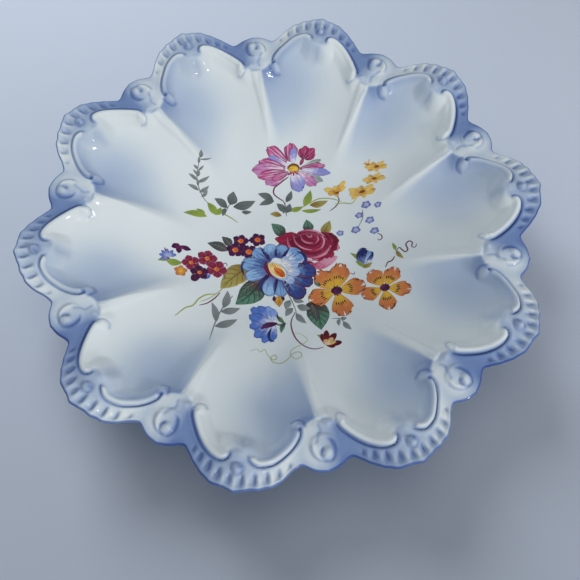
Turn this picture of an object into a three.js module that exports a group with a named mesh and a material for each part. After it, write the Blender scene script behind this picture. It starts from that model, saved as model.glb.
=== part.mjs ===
// Porcelain serving bowl: a shallow press-moulded bowl with ten lobes. Every lobe is a hollow pan
// that runs out to a raised shell on the rim, and a flat scroll tab fills the place between two shells.
// The bowl stands on a separate luted foot ring, and a spray of enamel transfers lies on the glaze.
// Millimetres, +Z up, origin under the centre of the foot ring on the surface that the bowl stands on.

import * as THREE from 'three';

// ---------------------------------------------------------------- driving dimensions

const LOBES = 10;
const LOBE_ANGLE = 360 / LOBES;

// Rim outline: radius in the notches beside a shell, and how far shell, tip and scroll tab stand out.
const NOTCH_RADIUS = 126.2;
const NOTCH_ANGLE = 12.5;
const SHELL_REACH = 12.3;
const TIP_REACH = 1.5;
const TIP_ANGLE = 1.2;
const SCROLL_REACH = 4.4;

// Heights above the standing surface.
const RIM_HEIGHT = 47;
const SHELL_RISE = 5.6;
const SHELL_RISE_ANGLE = 13;
const SHELL_RISE_START = 106;
const SHELL_RISE_END = 127;

// Line where a pan ends against its shell, as a flattened arch with a small cusp in the middle.
const PAN_END_SIDE = 104.5;
const PAN_END_REACH = 23.3;
const PAN_END_ANGLE = 15;
const PAN_CUSP_DEPTH = 4.5;
const PAN_CUSP_ANGLE = 1.3;
const PAN_WALL = 7;

// On the underside a pan's wall is longer and the shells begin further out, so the wall stays even.
const UNDER_WALL_START = -4;
const UNDER_WALL_END = PAN_WALL + 10;
const UNDER_RISE_START = SHELL_RISE_START + 4;
const UNDER_RISE_END = SHELL_RISE_END + 6;

// How sharply a pan turns up into the rib on its counter-clockwise and on its clockwise side.
const SHARP_SIDE = 4;
const SOFT_SIDE = 1.7;

// Sections from the centre outwards, [radius, height]: along a rib, along the middle of a pan, and
// along the underside.
const RIB_SECTION = [
  [0, 10], [25, 10.2], [35, 11.2], [42, 13], [50, 16.6], [60, 21.9], [70, 27.8], [80, 33.5],
  [90, 38.7], [100, 43.1], [110, 46.7], [118, RIM_HEIGHT], [145, RIM_HEIGHT],
];
const PAN_SECTION = [
  [0, 10], [25, 10.2], [35, 11.2], [42, 13], [50, 16.3], [60, 20.4], [70, 24.4], [80, 28.4],
  [90, 32.4], [100, 36.5], [110, 41], [118, 45.3], [124, 49.8], [145, 66],
];
const WALL_BELOW_RIB = 4.6;
const WALL_BELOW_PAN = 4.4;
const LIP_THICKNESS = 3.6;

// Foot ring and the flat seat that it is luted to.
const FOOT_INNER = 43.5;
const FOOT_OUTER = 49.5;
const FOOT_TAPER = 1.1;
const FOOT_HEIGHT = 7.7;
const FOOT_SIDES = 60;
const SEAT_HEIGHT = 8;
const SEAT_INNER = 42.8;
const SEAT_FLARE_RADIUS = 60;
const SEAT_FILLET_REACH = 2;
const SEAT_FILLET_RISE = 2.4;
const SEAT_OUTER = 50.4;
const RECESS_HEIGHT = 5.6;
const RECESS_RADIUS = 37;

// Enamel transfers: thickness, and the gap that keeps each one a solid of its own.
const ENAMEL = 0.35;
const ENAMEL_GAP = 0.3;
const TRANSFER_REACH = 1;
// The spray is turned a little against the shells.
const SPRAY_TURN = THREE.MathUtils.degToRad(8.7);

// Fineness of the body's skin.
const COLUMNS = LOBES * 14;
const TOP_RINGS = [9, 22, 34, 44, 53, 62, 71, 80, 89, 98, 106, 113];
const TOP_RINGS_NEAR_RIM = [0.25, 0.5, 0.72, 0.88, 0.97];
const UNDERSIDE_RINGS = [72, 84, 96, 108];
const UNDERSIDE_NEAR_RIM = [0.4, 0.9];

// ---------------------------------------------------------------- materials

const porcelain = (name) => new THREE.MeshStandardMaterial({
  name,
  color: 0xe4eaea,
  roughness: 0.08,
  metalness: 0,
});

const enamel = (name, color) => new THREE.MeshStandardMaterial({
  name,
  color,
  roughness: 0.2,
  metalness: 0,
});

// ---------------------------------------------------------------- surface of the bowl

const smooth = (from, to, value) => THREE.MathUtils.smoothstep(value, from, to);

// Smooth curve through [radius, height] points that never overshoots them.
function section(points) {
  const slopes = points.slice(1).map((p, i) => (p[1] - points[i][1]) / (p[0] - points[i][0]));
  const tangents = points.map((_, i) => {
    const before = slopes[i - 1] ?? 0;
    const after = slopes[i] ?? before;
    return before * after > 0 ? (2 * before * after) / (before + after) : 0;
  });
  tangents[points.length - 1] = slopes[slopes.length - 1];
  return (radius) => {
    const found = points.findIndex((p) => p[0] > radius);
    const i = found < 0 ? points.length - 2 : Math.max(found - 1, 0);
    const width = points[i + 1][0] - points[i][0];
    const u = (radius - points[i][0]) / width;
    const low = (1 + 2 * u) * (1 - u) ** 2 * points[i][1] + width * tangents[i] * u * (1 - u) ** 2;
    const high = u * u * (3 - 2 * u) * points[i + 1][1] + width * tangents[i + 1] * u * u * (u - 1);
    return low + high;
  };
}

const ribHeight = section(RIB_SECTION);
const panHeight = section(PAN_SECTION);

// Degrees clockwise from the middle of the nearest shell, for an angle clockwise from +Y.
function shellAngle(clockwise) {
  const turned = (clockwise + LOBE_ANGLE / 2) % LOBE_ANGLE;
  return (turned + LOBE_ANGLE) % LOBE_ANGLE - LOBE_ANGLE / 2;
}

// Radius of the rim's outline.
function rimRadius(angle) {
  if (Math.abs(angle) < NOTCH_ANGLE) {
    const shell = SHELL_REACH * (1 - Math.abs(angle / NOTCH_ANGLE) ** 3) ** 1.5;
    return NOTCH_RADIUS + shell + TIP_REACH * Math.exp(-((angle / TIP_ANGLE) ** 2));
  }
  const half = LOBE_ANGLE / 2 - NOTCH_ANGLE;
  const across = (LOBE_ANGLE / 2 - Math.abs(angle)) / half;
  return NOTCH_RADIUS + SCROLL_REACH * (1 - across ** 2);
}

// Radius at which a pan ends against its shell.
function panEnd(angle) {
  const arch = Math.max(1 - Math.abs(angle / PAN_END_ANGLE) ** 3.2, 0) ** 0.75;
  const cusp = Math.exp(-((angle / PAN_CUSP_ANGLE) ** 2));
  return PAN_END_SIDE + PAN_END_REACH * arch - PAN_CUSP_DEPTH * cusp;
}

// How much of the height comes from the rib rather than from the pan, 0 to 1.
function ribShare(angle) {
  return Math.abs(angle / (LOBE_ANGLE / 2)) ** (angle < 0 ? SHARP_SIDE : SOFT_SIDE);
}

function topHeight(radius, angle) {
  const pan = THREE.MathUtils.lerp(panHeight(radius), ribHeight(radius), ribShare(angle));
  const swell = Math.cos((Math.PI / 2) * Math.min(Math.abs(angle) / SHELL_RISE_ANGLE, 1)) ** 2;
  const shell = SHELL_RISE * swell * smooth(SHELL_RISE_START, SHELL_RISE_END, radius);
  const inPan = smooth(0, PAN_WALL, panEnd(angle) - radius);
  return THREE.MathUtils.lerp(ribHeight(radius) + shell, pan, inPan);
}

// The underside repeats the top, softened, and hangs below it by the wall.
function underHeight(radius, angle) {
  const pan = panHeight(radius) - WALL_BELOW_PAN;
  const rib = ribHeight(radius) - WALL_BELOW_RIB;
  const panEdge = smooth(UNDER_WALL_START, UNDER_WALL_END, panEnd(angle) - radius);
  const inside = THREE.MathUtils.lerp(pan, rib, ribShare(angle));
  const swell = Math.cos((Math.PI / 2) * Math.min(Math.abs(angle) / SHELL_RISE_ANGLE, 1)) ** 2;
  const shell = SHELL_RISE * swell * smooth(UNDER_RISE_START, UNDER_RISE_END, radius);
  const outside = ribHeight(radius) + shell - LIP_THICKNESS;
  return Math.min(THREE.MathUtils.lerp(outside, inside, panEdge), topHeight(radius, angle) - LIP_THICKNESS);
}

// ---------------------------------------------------------------- bowl body

function closedMesh(positions, triangles) {
  const geometry = new THREE.BufferGeometry();
  geometry.setAttribute('position', new THREE.Float32BufferAttribute(positions, 3));
  geometry.setIndex(triangles);
  geometry.computeVertexNormals();
  return geometry;
}

// Each ring is a function of the angle that gives [radius, height]; the skin runs over them in turn,
// from the middle of the well, out to the rim and back under the bowl to the middle of the recess.
function bodyRings() {
  const lip = 0.8;
  const rings = TOP_RINGS.map((radius) => (angle) => [radius, topHeight(radius, angle)]);
  const lastRing = TOP_RINGS[TOP_RINGS.length - 1];
  for (const share of TOP_RINGS_NEAR_RIM) {
    rings.push((angle) => {
      const radius = THREE.MathUtils.lerp(lastRing, rimRadius(angle) - lip, share);
      return [radius, topHeight(radius, angle)];
    });
  }
  rings.push((angle) => {
    const radius = rimRadius(angle);
    return [radius, topHeight(radius, angle) - lip];
  });
  rings.push((angle) => {
    const radius = rimRadius(angle);
    return [radius - lip / 2, topHeight(radius, angle) - LIP_THICKNESS + lip];
  });
  const outermost = UNDERSIDE_RINGS[UNDERSIDE_RINGS.length - 1];
  for (const share of [...UNDERSIDE_NEAR_RIM].reverse()) {
    rings.push((angle) => {
      const radius = THREE.MathUtils.lerp(outermost, rimRadius(angle) - 2 * lip, share);
      return [radius, underHeight(radius, angle)];
    });
  }
  for (const radius of [...UNDERSIDE_RINGS].reverse()) {
    rings.push((angle) => [radius, underHeight(radius, angle)]);
  }
  rings.push((angle) => [SEAT_FLARE_RADIUS, underHeight(SEAT_FLARE_RADIUS, angle)]);
  rings.push(() => [SEAT_OUTER + SEAT_FILLET_REACH, SEAT_HEIGHT + SEAT_FILLET_RISE]);
  rings.push(() => [SEAT_OUTER, SEAT_HEIGHT]);
  rings.push(() => [SEAT_INNER, SEAT_HEIGHT]);
  rings.push(() => [RECESS_RADIUS, RECESS_HEIGHT]);
  return rings;
}

function bowlBody() {
  const rings = bodyRings();
  const positions = [0, 0, topHeight(0, 0)];
  for (const ring of rings) {
    for (let i = 0; i < COLUMNS; i++) {
      const clockwise = (i * 360) / COLUMNS;
      const [radius, height] = ring(shellAngle(clockwise));
      const turn = THREE.MathUtils.degToRad(clockwise);
      positions.push(radius * Math.sin(turn), radius * Math.cos(turn), height);
    }
  }
  positions.push(0, 0, RECESS_HEIGHT);
  const last = rings.length * COLUMNS + 1;
  const at = (ring, i) => 1 + ring * COLUMNS + (i % COLUMNS);
  const triangles = [];
  for (let i = 0; i < COLUMNS; i++) {
    triangles.push(0, at(0, i + 1), at(0, i));
    for (let ring = 0; ring < rings.length - 1; ring++) {
      triangles.push(at(ring, i), at(ring, i + 1), at(ring + 1, i));
      triangles.push(at(ring, i + 1), at(ring + 1, i + 1), at(ring + 1, i));
    }
    triangles.push(last, at(rings.length - 1, i), at(rings.length - 1, i + 1));
  }
  return closedMesh(positions, triangles);
}

// ---------------------------------------------------------------- foot ring

function footRing() {
  const edge = 0.9;
  const profile = [
    [FOOT_INNER, FOOT_HEIGHT],
    [FOOT_INNER + FOOT_TAPER, edge],
    [FOOT_INNER + FOOT_TAPER + edge, 0],
    [FOOT_OUTER - FOOT_TAPER - edge, 0],
    [FOOT_OUTER - FOOT_TAPER, edge],
    [FOOT_OUTER, FOOT_HEIGHT],
    [FOOT_INNER, FOOT_HEIGHT],
  ];
  const points = profile.map(([radius, height]) => new THREE.Vector2(radius, height));
  // A lathe turns about Y, so the ring is stood up onto Z.
  return new THREE.LatheGeometry(points, FOOT_SIDES).rotateX(Math.PI / 2);
}

// ---------------------------------------------------------------- enamel transfers

// Height of the glaze at a point of the bowl's own axes.
function glazeHeight(x, y) {
  const angle = shellAngle(THREE.MathUtils.radToDeg(Math.atan2(x, y)));
  return topHeight(Math.hypot(x, y), angle);
}

// Highest glaze close to a point, so that a transfer clears the crest of a rib beside it.
function glazeUnder(x, y) {
  const reach = TRANSFER_REACH;
  const around = [[0, 0], [reach, 0], [-reach, 0], [0, reach], [0, -reach]];
  return Math.max(...around.map(([dx, dy]) => glazeHeight(x + dx, y + dy)));
}

// A thin solid that lies on the glaze: the outline, given round its centre as a radius for each
// direction, is filled by rings so that it bends with the well.
function transfer({ centre, radiusAt, sides = 20, rings = 3 }) {
  const cos = Math.cos(SPRAY_TURN);
  const sin = Math.sin(SPRAY_TURN);
  const place = (u, v, lift) => {
    const x = u * cos - v * sin;
    const y = u * sin + v * cos;
    return [x, y, glazeUnder(x, y) + lift];
  };
  const positions = [];
  for (const lift of [ENAMEL_GAP + ENAMEL, ENAMEL_GAP]) {
    positions.push(...place(centre[0], centre[1], lift));
    for (let ring = 1; ring <= rings; ring++) {
      for (let i = 0; i < sides; i++) {
        const direction = (2 * Math.PI * i) / sides;
        const radius = (radiusAt(direction) * ring) / rings;
        const u = centre[0] + radius * Math.cos(direction);
        const v = centre[1] + radius * Math.sin(direction);
        positions.push(...place(u, v, lift));
      }
    }
  }
  const layer = 1 + rings * sides;
  const triangles = [];
  for (let i = 0; i < sides; i++) {
    const next = (i + 1) % sides;
    triangles.push(0, 1 + i, 1 + next);
    triangles.push(layer, layer + 1 + next, layer + 1 + i);
    for (let ring = 0; ring < rings - 1; ring++) {
      const inner = 1 + ring * sides;
      const outer = inner + sides;
      triangles.push(inner + i, outer + i, outer + next, inner + i, outer + next, inner + next);
      const a = layer + inner;
      const b = layer + outer;
      triangles.push(a + i, b + next, b + i, a + i, a + next, b + next);
    }
    const edge = 1 + (rings - 1) * sides;
    triangles.push(edge + i, layer + edge + i, layer + edge + next);
    triangles.push(edge + i, layer + edge + next, edge + next);
  }
  return closedMesh(positions, triangles);
}

// Outlines: an ellipse turned by some degrees, and a flower with round petals.
function oval(long, short, turn = 0) {
  return (direction) => {
    const a = direction - THREE.MathUtils.degToRad(turn);
    return (long * short) / Math.hypot(short * Math.cos(a), long * Math.sin(a));
  };
}

function petals(radius, count, depth, turn = 0) {
  return (direction) => {
    const a = direction - THREE.MathUtils.degToRad(turn);
    return radius * (1 - depth / 2 + (depth / 2) * Math.cos(count * a));
  };
}

// The spray's pieces: name, centre and outline in the spray's own axes, and a mean enamel colour.
const SPRAY = [
  { name: 'print_main_bouquet', centre: [-4, -9], radiusAt: oval(28, 20, 35), sides: 32, rings: 4,
    color: 0x5b78b8 },
  { name: 'print_pink_cosmos', centre: [4, 54], radiusAt: oval(23, 13, -4), sides: 28, rings: 4,
    color: 0xb86a90 },
  { name: 'print_orange_flower_large', centre: [31.5, -25], radiusAt: petals(14.3, 5, 0.3, 36), sides: 30,
    color: 0xc8773a },
  { name: 'print_orange_flower_small', centre: [57, -26], radiusAt: petals(12.3, 5, 0.3, 12), sides: 30,
    color: 0xc8773a },
  { name: 'print_maroon_cluster', centre: [-46, -11], radiusAt: oval(13, 9, 10), color: 0x8a2c48 },
  { name: 'print_blue_daisy', centre: [-65.5, -8], radiusAt: oval(5.2, 4.8), color: 0x5f7fc0, sides: 14,
    rings: 2 },
  { name: 'print_fern_sprig', centre: [-50, 44], radiusAt: oval(13, 4.6, 100), color: 0x6c7a80 },
  { name: 'print_leaves_left', centre: [-38, 27], radiusAt: oval(19, 7, 22), color: 0x6c7a76 },
  { name: 'print_leaves_middle', centre: [3, 30], radiusAt: oval(19, 7.5), color: 0x86904a },
  { name: 'print_yellow_daisies', centre: [49, 42], radiusAt: oval(12, 8, 130), color: 0xd0a23c },
  { name: 'print_yellow_daisy_bud', centre: [31, 38], radiusAt: oval(6.5, 3.6, 15), color: 0xd0a23c,
    sides: 14, rings: 2 },
  { name: 'print_small_blue_flowers', centre: [47, 20], radiusAt: oval(11, 7.5, 160), color: 0x6f7fc2 },
  { name: 'print_blue_rosebud', centre: [45, -4], radiusAt: oval(6.8, 5.4, 170), color: 0x4a5590, sides: 16,
    rings: 2 },
  { name: 'print_tendril_right', centre: [68, -3.5], radiusAt: oval(7, 4.2, 25), color: 0x7a4a62, sides: 14,
    rings: 2 },
  { name: 'print_grey_sprig', centre: [-33, -42], radiusAt: oval(15, 7, 68), color: 0x77858c },
  { name: 'print_yellow_tendril', centre: [-48, -35], radiusAt: oval(13, 2.2, 43), color: 0x9aa05a,
    rings: 2 },
  { name: 'print_morning_glory', centre: [-11, -47], radiusAt: oval(12.5, 9.5, 100), color: 0x5876c4,
    sides: 24 },
  { name: 'print_dark_leaf', centre: [19.5, -45], radiusAt: oval(6, 4.2, 110), color: 0x3f5a52, sides: 14,
    rings: 2 },
  { name: 'print_red_bud', centre: [25.5, -57], radiusAt: oval(5.4, 4.6, 120), color: 0x7e1f26, sides: 14,
    rings: 2 },
  { name: 'print_green_tendril', centre: [0, -65.5], radiusAt: oval(12, 3.4, 8), color: 0x9fb068, rings: 2 },
];

// ---------------------------------------------------------------- assembly

const group = new THREE.Group();

function add(name, geometry, material) {
  const mesh = new THREE.Mesh(geometry, material);
  mesh.name = name;
  group.add(mesh);
}

add('bowl_body', bowlBody(), porcelain('glazed_porcelain'));
add('foot_ring', footRing(), porcelain('foot_porcelain'));
for (const { name, color, ...outline } of SPRAY) {
  add(name, transfer(outline), enamel(name, color));
}

export default group;
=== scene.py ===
import math

import bpy
import numpy as np
from mathutils import Matrix, Vector


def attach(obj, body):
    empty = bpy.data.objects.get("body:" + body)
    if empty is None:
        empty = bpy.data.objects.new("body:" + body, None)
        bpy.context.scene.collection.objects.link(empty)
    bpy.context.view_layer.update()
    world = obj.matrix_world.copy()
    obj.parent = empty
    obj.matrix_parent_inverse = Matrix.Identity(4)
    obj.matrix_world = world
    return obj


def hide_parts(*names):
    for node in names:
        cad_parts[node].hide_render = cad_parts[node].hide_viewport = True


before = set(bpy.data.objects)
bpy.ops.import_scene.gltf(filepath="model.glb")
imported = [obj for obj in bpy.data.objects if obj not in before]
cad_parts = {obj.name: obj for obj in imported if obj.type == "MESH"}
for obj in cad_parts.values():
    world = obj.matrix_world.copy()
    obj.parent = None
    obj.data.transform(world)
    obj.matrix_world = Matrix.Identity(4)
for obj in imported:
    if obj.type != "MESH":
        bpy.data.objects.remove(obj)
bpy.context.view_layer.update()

# ---------------------------------------------------------------- bowl body
# The body of the bowl, with its ten pans, shells and scroll tabs. White porcelain clay pressed in
# a two-part mould, so the underside follows the top softly, then fettled, sprayed with cobalt blue
# along the rim and glazed all over.

MM = 0.001
LOBES = 10
HALF_LOBE = 180 / LOBES

# Heights in millimetres by radius, from the centre outwards: along a rib, and along a pan's middle.
RIB_SECTION = [
    (0, 10), (25, 10.2), (35, 11.2), (42, 13), (50, 16.6), (60, 21.9), (70, 27.8), (80, 33.5),
    (90, 38.7), (100, 43.1), (110, 46.7), (118, 47), (145, 47),
]
PAN_SECTION = [
    (0, 10), (25, 10.2), (35, 11.2), (42, 13), (50, 16.3), (60, 20.4), (70, 24.4), (80, 28.4),
    (90, 32.4), (100, 36.5), (110, 41), (118, 45.3), (124, 49.8), (145, 66),
]
LIP = 3.6
LIP_ROUNDING = 1.3
WALL = 4.5
SHELL_RISE = 5.6
MOST_BLUE = 4
SEAT_RADII = (50.4, 42.8)
SEAT_HEIGHT = 8.0
RECESS_RADIUS = 37.0
RECESS_HEIGHT = 5.6


def blend(start, end, value):
    """0 up to start, 1 from end on, and a soft step between them."""
    u = np.clip((value - start) / (end - start), 0, 1)
    return u * u * (3 - 2 * u)


def hill(value, half_width):
    """1 at nought, falling off smoothly on both sides."""
    return np.exp(-((value / half_width) ** 2))


def section(points):
    """The smooth curve through [radius, height] points that never overshoots them."""
    radii, heights = np.array(points, float).T
    gaps = np.diff(radii)
    slopes = np.diff(heights) / gaps
    before, after = slopes[:-1], slopes[1:]
    same_way = before * after > 0
    tangents = np.zeros_like(radii)
    tangents[1:-1] = np.where(same_way, 2 * before * after / np.where(same_way, before + after, 1), 0)
    tangents[-1] = slopes[-1]

    def height(radius):
        i = np.clip(np.searchsorted(radii, radius, side="right") - 1, 0, len(gaps) - 1)
        u = (radius - radii[i]) / gaps[i]
        low = heights[i] * (1 + 2 * u) * (1 - u) ** 2 + tangents[i] * gaps[i] * u * (1 - u) ** 2
        high = heights[i + 1] * u * u * (3 - 2 * u) + tangents[i + 1] * gaps[i] * u * u * (u - 1)
        return low + high

    return height


def flowing(points, steps=7):
    """A smooth line through a few points."""
    p = np.array(points, float)
    p = np.vstack([2 * p[0] - p[1], p, 2 * p[-1] - p[-2]])
    u = np.linspace(0, 1, steps, endpoint=False)[:, None]
    runs = []
    for a, b, c, d in zip(p, p[1:], p[2:], p[3:]):
        runs.append(0.5 * (
            2 * b + (c - a) * u + (2 * a - 5 * b + 4 * c - d) * u**2 + (3 * b - a - 3 * c + d) * u**3))
    return np.vstack([*runs, p[-2][None]])


def beside(line, x, y):
    """Distance from a line, positive on its right, and how far along it the nearest place is."""
    ways = np.diff(line, axis=0)
    lengths = np.hypot(ways[:, 0], ways[:, 1])
    reached = np.concatenate([[0], np.cumsum(lengths)])
    nearest = np.full(x.shape, 1e9)
    side = np.ones(x.shape)
    along = np.zeros(x.shape)
    for start, way, length, before in zip(line, ways, lengths, reached):
        dx, dy = x - start[0], y - start[1]
        u = np.clip((dx * way[0] + dy * way[1]) / length**2, 0, 1)
        px, py = dx - u * way[0], dy - u * way[1]
        away = np.hypot(px, py)
        nearer = away < nearest
        nearest = np.where(nearer, away, nearest)
        side = np.where(nearer, np.where(way[1] * px - way[0] * py < 0, -1, 1), side)
        along = np.where(nearer, (before + u * length) / reached[-1], along)
    return nearest * side, along


rib_height = section(RIB_SECTION)
pan_height = section(PAN_SECTION)

# Rim of one lobe, [degrees clockwise from the middle of its shell, radius].
RIM_OUTLINE = [
    (-18, 130.4), (-15.5, 129.3), (-13.2, 126.7), (-12.2, 126.7), (-11, 128.4), (-9.6, 131.4),
    (-8.1, 134.4), (-6.6, 136.3), (-5.6, 136.9), (-4.2, 137.9), (-2.4, 138.4), (-1.2, 139.3),
    (0, 140.0), (1.2, 139.5), (2.5, 138.6), (4.2, 138.4), (5.8, 136.9), (7.7, 134.2), (9.6, 130.9),
    (11, 128.0), (12.2, 126.0), (13.4, 126.3), (15.5, 128.7), (18, 130.4),
]
RIM_LINE = flowing(RIM_OUTLINE)
# Grooves outside the two scrolls that frame a pan, x clockwise and y outwards. Both run clockwise,
# so that the pan is on their right.
LEFT_SCROLL = flowing([
    (-24.3, 106.1), (-25.2, 108.5), (-24.8, 111.7), (-23, 115.9), (-20, 120.2), (-16, 124.4),
    (-12, 126.6), (-8.5, 127.3), (-5.5, 126.4), (-3.6, 124.8), (-3.2, 123.2),
])
RIGHT_SCROLL = flowing([
    (5.2, 121.8), (5.0, 124.4), (6.5, 126.4), (9.5, 127), (13.5, 125.7), (17.5, 122.7), (21, 118.6),
    (24, 113.7), (26, 109.3), (26.8, 105.5),
])
PAN_EDGE = flowing([
    (-31.8, 100), (-28.5, 102.5), (-26.6, 105), (-25.6, 107.5), (-24.9, 111.7), (-23, 115.9), (-20, 120.2),
    (-16, 124.4), (-12, 126.6), (-8.5, 127.3), (-5.5, 126), (-3.2, 123.4), (-1, 121.6), (1, 121),
    (3.2, 121.4), (5, 123.4), (6.9, 126), (9.5, 127), (13.5, 125.7), (17.5, 122.7), (21, 118.6), (24, 113.7),
    (26, 109.3), (26.9, 105), (28.5, 102.3), (31, 99.6),
])
# Depth of those two grooves, width and height of the bead beside each, and the balls at the scrolls'
# lower ends, [x, y, radius, height], with a hooked crease round each of them.
SCROLL_GROOVE = 1.4
SCROLL_BEADS = ((LEFT_SCROLL, 2.8, 1.4), (RIGHT_SCROLL, 3.7, 1.45))
SCROLL_BALLS = ((-22.2, 104.9, 2.7, 1.5), (23.2, 104.4, 2.6, 1.2))
SCROLL_EYE = (-24.1, 106.8)
LEFT_HOOK = flowing([(-26.5, 104.8), (-25.2, 102.6), (-22.6, 101.9), (-19.9, 103.6)])
RIGHT_HOOK = flowing([(25.9, 104.6), (24.6, 102.4), (21.9, 101.9), (20.4, 103.6)])
# Spiral groove and channel of a tab, u clockwise of the tab's middle and v outwards.
TAB_MIDDLE = 119.0
TAB_CURL = flowing([
    (-1.6, 114.6), (-3.4, 116), (-4.7, 119), (-4.6, 122.2), (-2.9, 124.9), (-0.3, 125.2), (1.6, 123.6),
    (1.7, 121.4), (0.9, 120.2),
])
TAB_CHANNEL = flowing([(3.4, 116.2), (2.2, 113.4), (0.6, 111.3), (1.2, 108.2)])
# Flutes of the shell's frill, [degrees clockwise, radius, size], and the petals between them.
FLUTES = [
    (-10.2, 126.2, 0.55), (-7.9, 130.1, 0.85), (-5.6, 132.3, 1), (-3.2, 133.7, 1.05), (-0.8, 134.8, 1.05),
    (1.5, 134.7, 0.95), (3.8, 133.4, 1.05), (6.1, 130.9, 1), (8.3, 128.2, 0.8), (10.2, 125.5, 0.55),
]
PETALS = [
    (-9.1, 130.2, 0.8), (-6.8, 133.6, 1), (-4.4, 135.6, 1), (-2.0, 137, 1), (0.4, 137.6, 1.1),
    (2.7, 136.8, 1), (5.0, 135, 1), (7.3, 132, 1), (9.4, 129, 0.8),
]
SCALLOP = 0.28
FLUTE_DEPTH = 1.3
FLUTE_STEP = 1.0
PETAL_HEIGHT = 0.5
PEARL = (0.6, 129.4)
PEARL_RADIUS = 2.2
PEARL_HEIGHT = 2.2


def rim_radius(angle):
    """The outline of the rim, drawn in a little along the shells and scalloped by their petals."""
    degrees, radii = RIM_LINE.T
    scallops = sum(SCALLOP * size * hill(angle - petal, 0.8) for petal, _, size in PETALS)
    return np.interp(angle, degrees, radii) - 0.35 * blend(11.5, 10, np.abs(angle)) + scallops


def lean(radius):
    """How many degrees the crest of a rib lies clockwise of the line between two lobes."""
    return np.interp(radius, [40, 60, 75, 90, 103, 112], [0, 0.9, 1.5, 1.1, 0.7, 0])


def folded(angle):
    """The same place in the first lobe."""
    return (angle + HALF_LOBE) % (2 * HALF_LOBE) - HALF_LOBE


def shell_rise(radius, angle, start=106, end=127):
    """How far a shell turns up above the tabs."""
    swell = np.cos(math.pi / 2 * np.clip(np.abs(angle) / 13, 0, 1)) ** 2
    return SHELL_RISE * swell * blend(start, end, radius)


def scroll_relief(x, y):
    """One lobe's two scrolls: height, and depth of blue, less over their beads and balls and more in their
    grooves, eye and creases.
    """
    height = np.zeros(x.shape)
    tint = np.zeros(x.shape)
    for line, width, crown in SCROLL_BEADS:
        away, along = beside(line, x, y)
        ends = blend(0, 0.05, along) * blend(0, 0.05, 1 - along)
        groove = hill(away, 0.5) * (0.15 + 0.85 * ends)
        bead = np.clip(1 - ((away - 0.45 - width / 2) / (width / 2 + 0.2)) ** 2, 0, 1) * ends
        height += -SCROLL_GROOVE * groove + crown * bead**0.8 + 0.35 * hill(away + 1.3, 0.6) * ends
        tint += 1.5 * groove - 0.6 * bead * ends
    for cx, cy, radius, crown in SCROLL_BALLS:
        ball = np.clip(1 - (np.hypot(x - cx, y - cy) / radius) ** 2, 0, 1)
        height += crown * ball**0.7
        tint -= 0.6 * ball
    eye = hill(np.hypot(x - SCROLL_EYE[0], y - SCROLL_EYE[1]), 0.9)
    crease = hill(beside(LEFT_HOOK, x, y)[0], 0.55) + 0.7 * hill(beside(RIGHT_HOOK, x, y)[0], 0.55)
    height += -1.1 * eye - 0.6 * crease
    tint += 1.4 * eye + 0.9 * crease
    return height, tint


def frill_relief(x, y):
    """One shell's fluted frill with the pearl under its tip, with painted shade on one side of each flute and
    of the pearl and painted highlights on the petals.
    """
    height = np.zeros(x.shape)
    tint = np.zeros(x.shape)
    for marks, deep in ((FLUTES, True), (PETALS, False)):
        for angle, radius, size in marks:
            middle, way = math.radians(angle), math.radians(1.9 * angle)
            dx, dy = x - radius * math.sin(middle), y - radius * math.cos(middle)
            across = dx * math.cos(way) - dy * math.sin(way)
            out = dx * math.sin(way) + dy * math.cos(way)
            if deep:
                width = 1.9 * size * (1 + 0.11 * np.clip(out, -3, 1))
                reach = size * np.where(out > 0, 2.5, 3.6)
                ends = np.clip(1 - (out / reach) ** 2, 0, 1)
                width = width * (0.35 + 0.65 * np.sqrt(ends))
                scoop = np.clip(1 - (across / width) ** 2, 0, 1) * ends
                # One side of each flute drops in a narrow step, and that side is painted darker with extra
                # blue as shade.
                steep = hill(across + 0.45 * width, 0.62) * ends
                height -= size * (FLUTE_DEPTH * scoop + FLUTE_STEP * steep)
                tint += size * (0.1 * scoop + 1.3 * steep)
            else:
                mark = hill(across, 1.0 * size) * hill(out + 2, 3.4 * size)
                height += PETAL_HEIGHT * size * mark
                # The petals' ridges are painted paler, with less blue, as a highlight.
                tint -= 0.5 * mark
    from_pearl = np.hypot(x - PEARL[0], y - PEARL[1])
    pearl = np.clip(1 - (from_pearl / PEARL_RADIUS) ** 2, 0, 1)
    height += PEARL_HEIGHT * pearl**0.6 - 0.7 * hill(from_pearl - 2.7, 0.5)
    # The blue deepens in the pearl's ring groove, and one side of the pearl, counter-clockwise and inward of
    # it, is painted darker with extra blue as shade.
    tint += 0.7 * hill(from_pearl - 2.6, 0.6) + 1.1 * hill(np.hypot(x + 0.7, y - 128.6), 1.1)
    tongue = hill(x, np.interp(y, [110, 118, 123], [1.8, 3.2, 2.6]))
    tongue = tongue * blend(110, 119, y) * blend(126.5, 121.5, y)
    height += 0.7 * tongue
    tint += tongue * np.interp(y, [112, 119, 123], [0.5, 0.35, -0.3])
    return height, tint


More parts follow.
